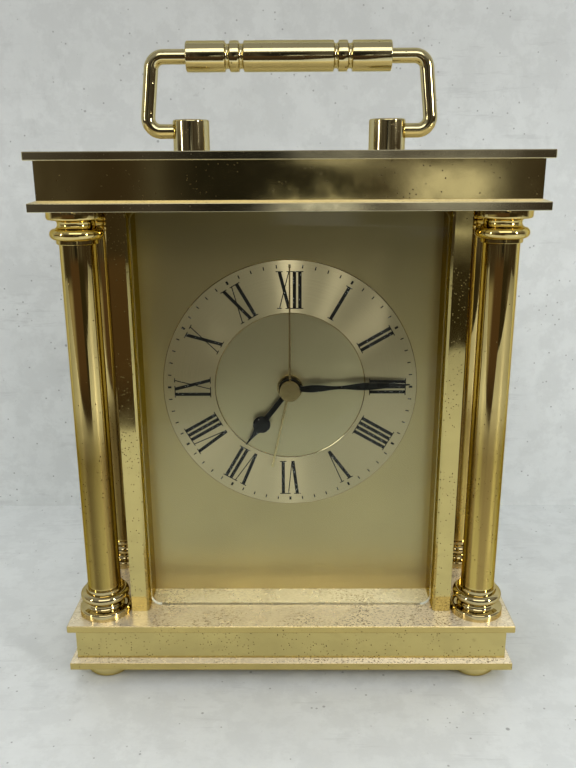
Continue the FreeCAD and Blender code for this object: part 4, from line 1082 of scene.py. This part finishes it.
def room_light():
    """Room with a bright ceiling, grey sides and a dark front, as metal reflects it in the photograph.
    x, y and z are directions from the clock, each from -1 to 1."""
    world = bpy.data.worlds.new("room")
    bpy.context.scene.world = world
    world.use_nodes = True
    n = Nodes(world.node_tree)
    x, y, z = n.split(n.add("ShaderNodeTexCoord").outputs["Generated"])
    wall_grey = rgba((0.50, 0.51, 0.515))
    streaks = n.noise(n.vector(x, 0.0, n.times(z, 0.25)), 7.0, 3.0)
    front = n.mix(n.ramp(streaks, 0.42, 0.62), rgba((0.046, 0.034, 0.022)), rgba((0.105, 0.098, 0.088)))
    darkest = n.ramp(n.distance_from(x, -0.03), 0.17, 0.08)
    front = n.mix(darkest, front, rgba((0.018, 0.017, 0.014)))
    plate_row = n.ramp(n.distance_from(z, -0.061), 0.017, 0.012)
    cover_row = n.ramp(z, -0.006, 0.002)
    shift = n.plus(n.times(plate_row, -0.165), n.times(cover_row, -0.14))
    middle = n.plus(shift, 0.195)
    across = n.ramp(n.distance_from(x, middle), 0.07, 0.03)
    doorway = n.times(across, n.ramp(n.distance_from(z, -0.03), 0.062, 0.056))
    glow = n.minus(n.plus(n.times(plate_row, 0.2), 0.8), n.times(cover_row, 0.35))
    pane = n.mix(plate_row, rgba((0.9, 0.9, 0.86)), rgba((1.5, 1.5, 1.4)))
    front = n.mix(n.times(doorway, glow), front, pane)
    low = n.mix(n.ramp(x, 0.12, 0.2), rgba((0.09, 0.055, 0.03)), rgba((0.035, 0.028, 0.015)))
    front = n.mix(n.ramp(z, -0.105, -0.12), front, low)
    sides = n.mix(n.ramp(x, 0.3, -0.3), rgba((0.16, 0.14, 0.11)), rgba((0.34, 0.31, 0.22)))
    skirting = n.ramp(n.distance_from(z, -0.05), 0.11, 0.08)
    sides = n.mix(skirting, sides, rgba((0.05, 0.038, 0.026)))
    front = n.mix(n.ramp(n.math("ABSOLUTE", x), 0.55, 0.8), front, sides)
    room = n.mix(n.ramp(y, 0.2, -0.1), wall_grey, front)
    room = n.mix(n.ramp(z, -0.24, -0.3), room, rgba((0.05, 0.035, 0.022)))
    room = n.mix(n.ramp(z, 0.25, 0.6), room, rgba((0.33, 0.33, 0.33)))
    path = n.add("ShaderNodeLightPath")
    background = world.node_tree.nodes["Background"]
    n.link(n.mix(path.outputs["Is Camera Ray"], room, wall_grey), background.inputs["Color"])
    background.inputs["Strength"].default_value = 1.0


def lamp(name, azimuth, elevation, distance, size, power, mirrored=True, lit=()):
    """Soft rectangular lamp. Azimuth runs from straight in front to the right, in degrees.
    With lit, it only lights the pieces named there."""
    turn, rise = math.radians(azimuth), math.radians(elevation)
    way = Vector((math.sin(turn) * math.cos(rise), -math.cos(turn) * math.cos(rise), math.sin(rise)))
    data = bpy.data.lights.new(name, "AREA")
    data.shape = "RECTANGLE"
    data.size, data.size_y = size[0] * MM, size[1] * MM
    data.energy = power
    data.color = LAMP_COLOR
    piece = bpy.data.objects.new(name, data)
    bpy.context.scene.collection.objects.link(piece)
    piece.location = (Vector((0, 0, LAMP_AIM_Z)) + way * distance) * MM
    piece.rotation_euler = way.to_track_quat("Z", "Y").to_euler()
    piece.visible_camera = False
    piece.visible_glossy = mirrored
    if lit:
        chosen = bpy.data.collections.new(name + "_lit")
        for other in lit:
            chosen.objects.link(bpy.data.objects[other])
        piece.light_linking.receiver_collection = chosen


def lamps():
    """Broad lamps for the room, two tall windows, and two small ones for the ring's fan of light."""
    lamp("ceiling_light", 4, 42, 1800, (1500, 760), 7.5)
    lamp("overhead", 180, 84, 1500, (900, 500), 8.5, False)
    lamp("side_fill", -60, 40, 1500, (900, 600), 4.5, False)
    lamp("other_fill", 60, 40, 1500, (900, 600), 0.3, False)
    lamp("small_window", -0.5, 15, 900, (24, 40), 0.85, lit=["hour_ring"])
    lamp("side_window", 15.5, 15, 900, (18, 34), 0.5, lit=["hour_ring"])
    lamp("window_left", -58, 12, 700, (36, 290), 0.55)
    lamp("window_right", 52, 16, 800, (60, 230), 2.2)


def camera():
    """Camera whose view matches the photograph."""
    pitch, yaw, roll = CAMERA_PITCH, CAMERA_YAW, CAMERA_ROLL
    forward = Vector((math.sin(yaw) * math.cos(pitch), math.cos(yaw) * math.cos(pitch), -math.sin(pitch)))
    right = Vector((math.cos(yaw), -math.sin(yaw), 0.0))
    up = right.cross(forward)
    across = right * math.cos(roll) + up * math.sin(roll)
    upward = up * math.cos(roll) - right * math.sin(roll)
    data = bpy.data.cameras.new("photo_camera")
    data.sensor_width = SENSOR_WIDTH
    data.lens = SENSOR_WIDTH * FOCAL_SHARE
    data.clip_start = 1.0 * MM
    piece = bpy.data.objects.new("photo_camera", data)
    bpy.context.scene.collection.objects.link(piece)
    turn = Matrix((across, upward, -forward)).transposed()
    piece.matrix_world = Matrix.Translation(Vector(CAMERA_PLACE) * MM) @ turn.to_4x4()
    bpy.context.scene.camera = piece


dress_cad_nodes()
for plate in ("base_bottom_plate", "top_lower_plate"):
    soften(plate, PLATE_BREAK)
columns()
feet()
bail()
grip()
dial_rings()
numerals()
minute_track()
hands()
knob_arrow("time_arrow", "time_set_knob", "time_setting", TIME_ARROW_RADIUS)
knob_arrow("alarm_arrow", "alarm_set_knob", "alarm_setting", ALARM_ARROW_RADIUS, False)
surroundings()
room_light()
lamps()
camera()
bpy.context.scene.view_settings.view_transform = "Standard"
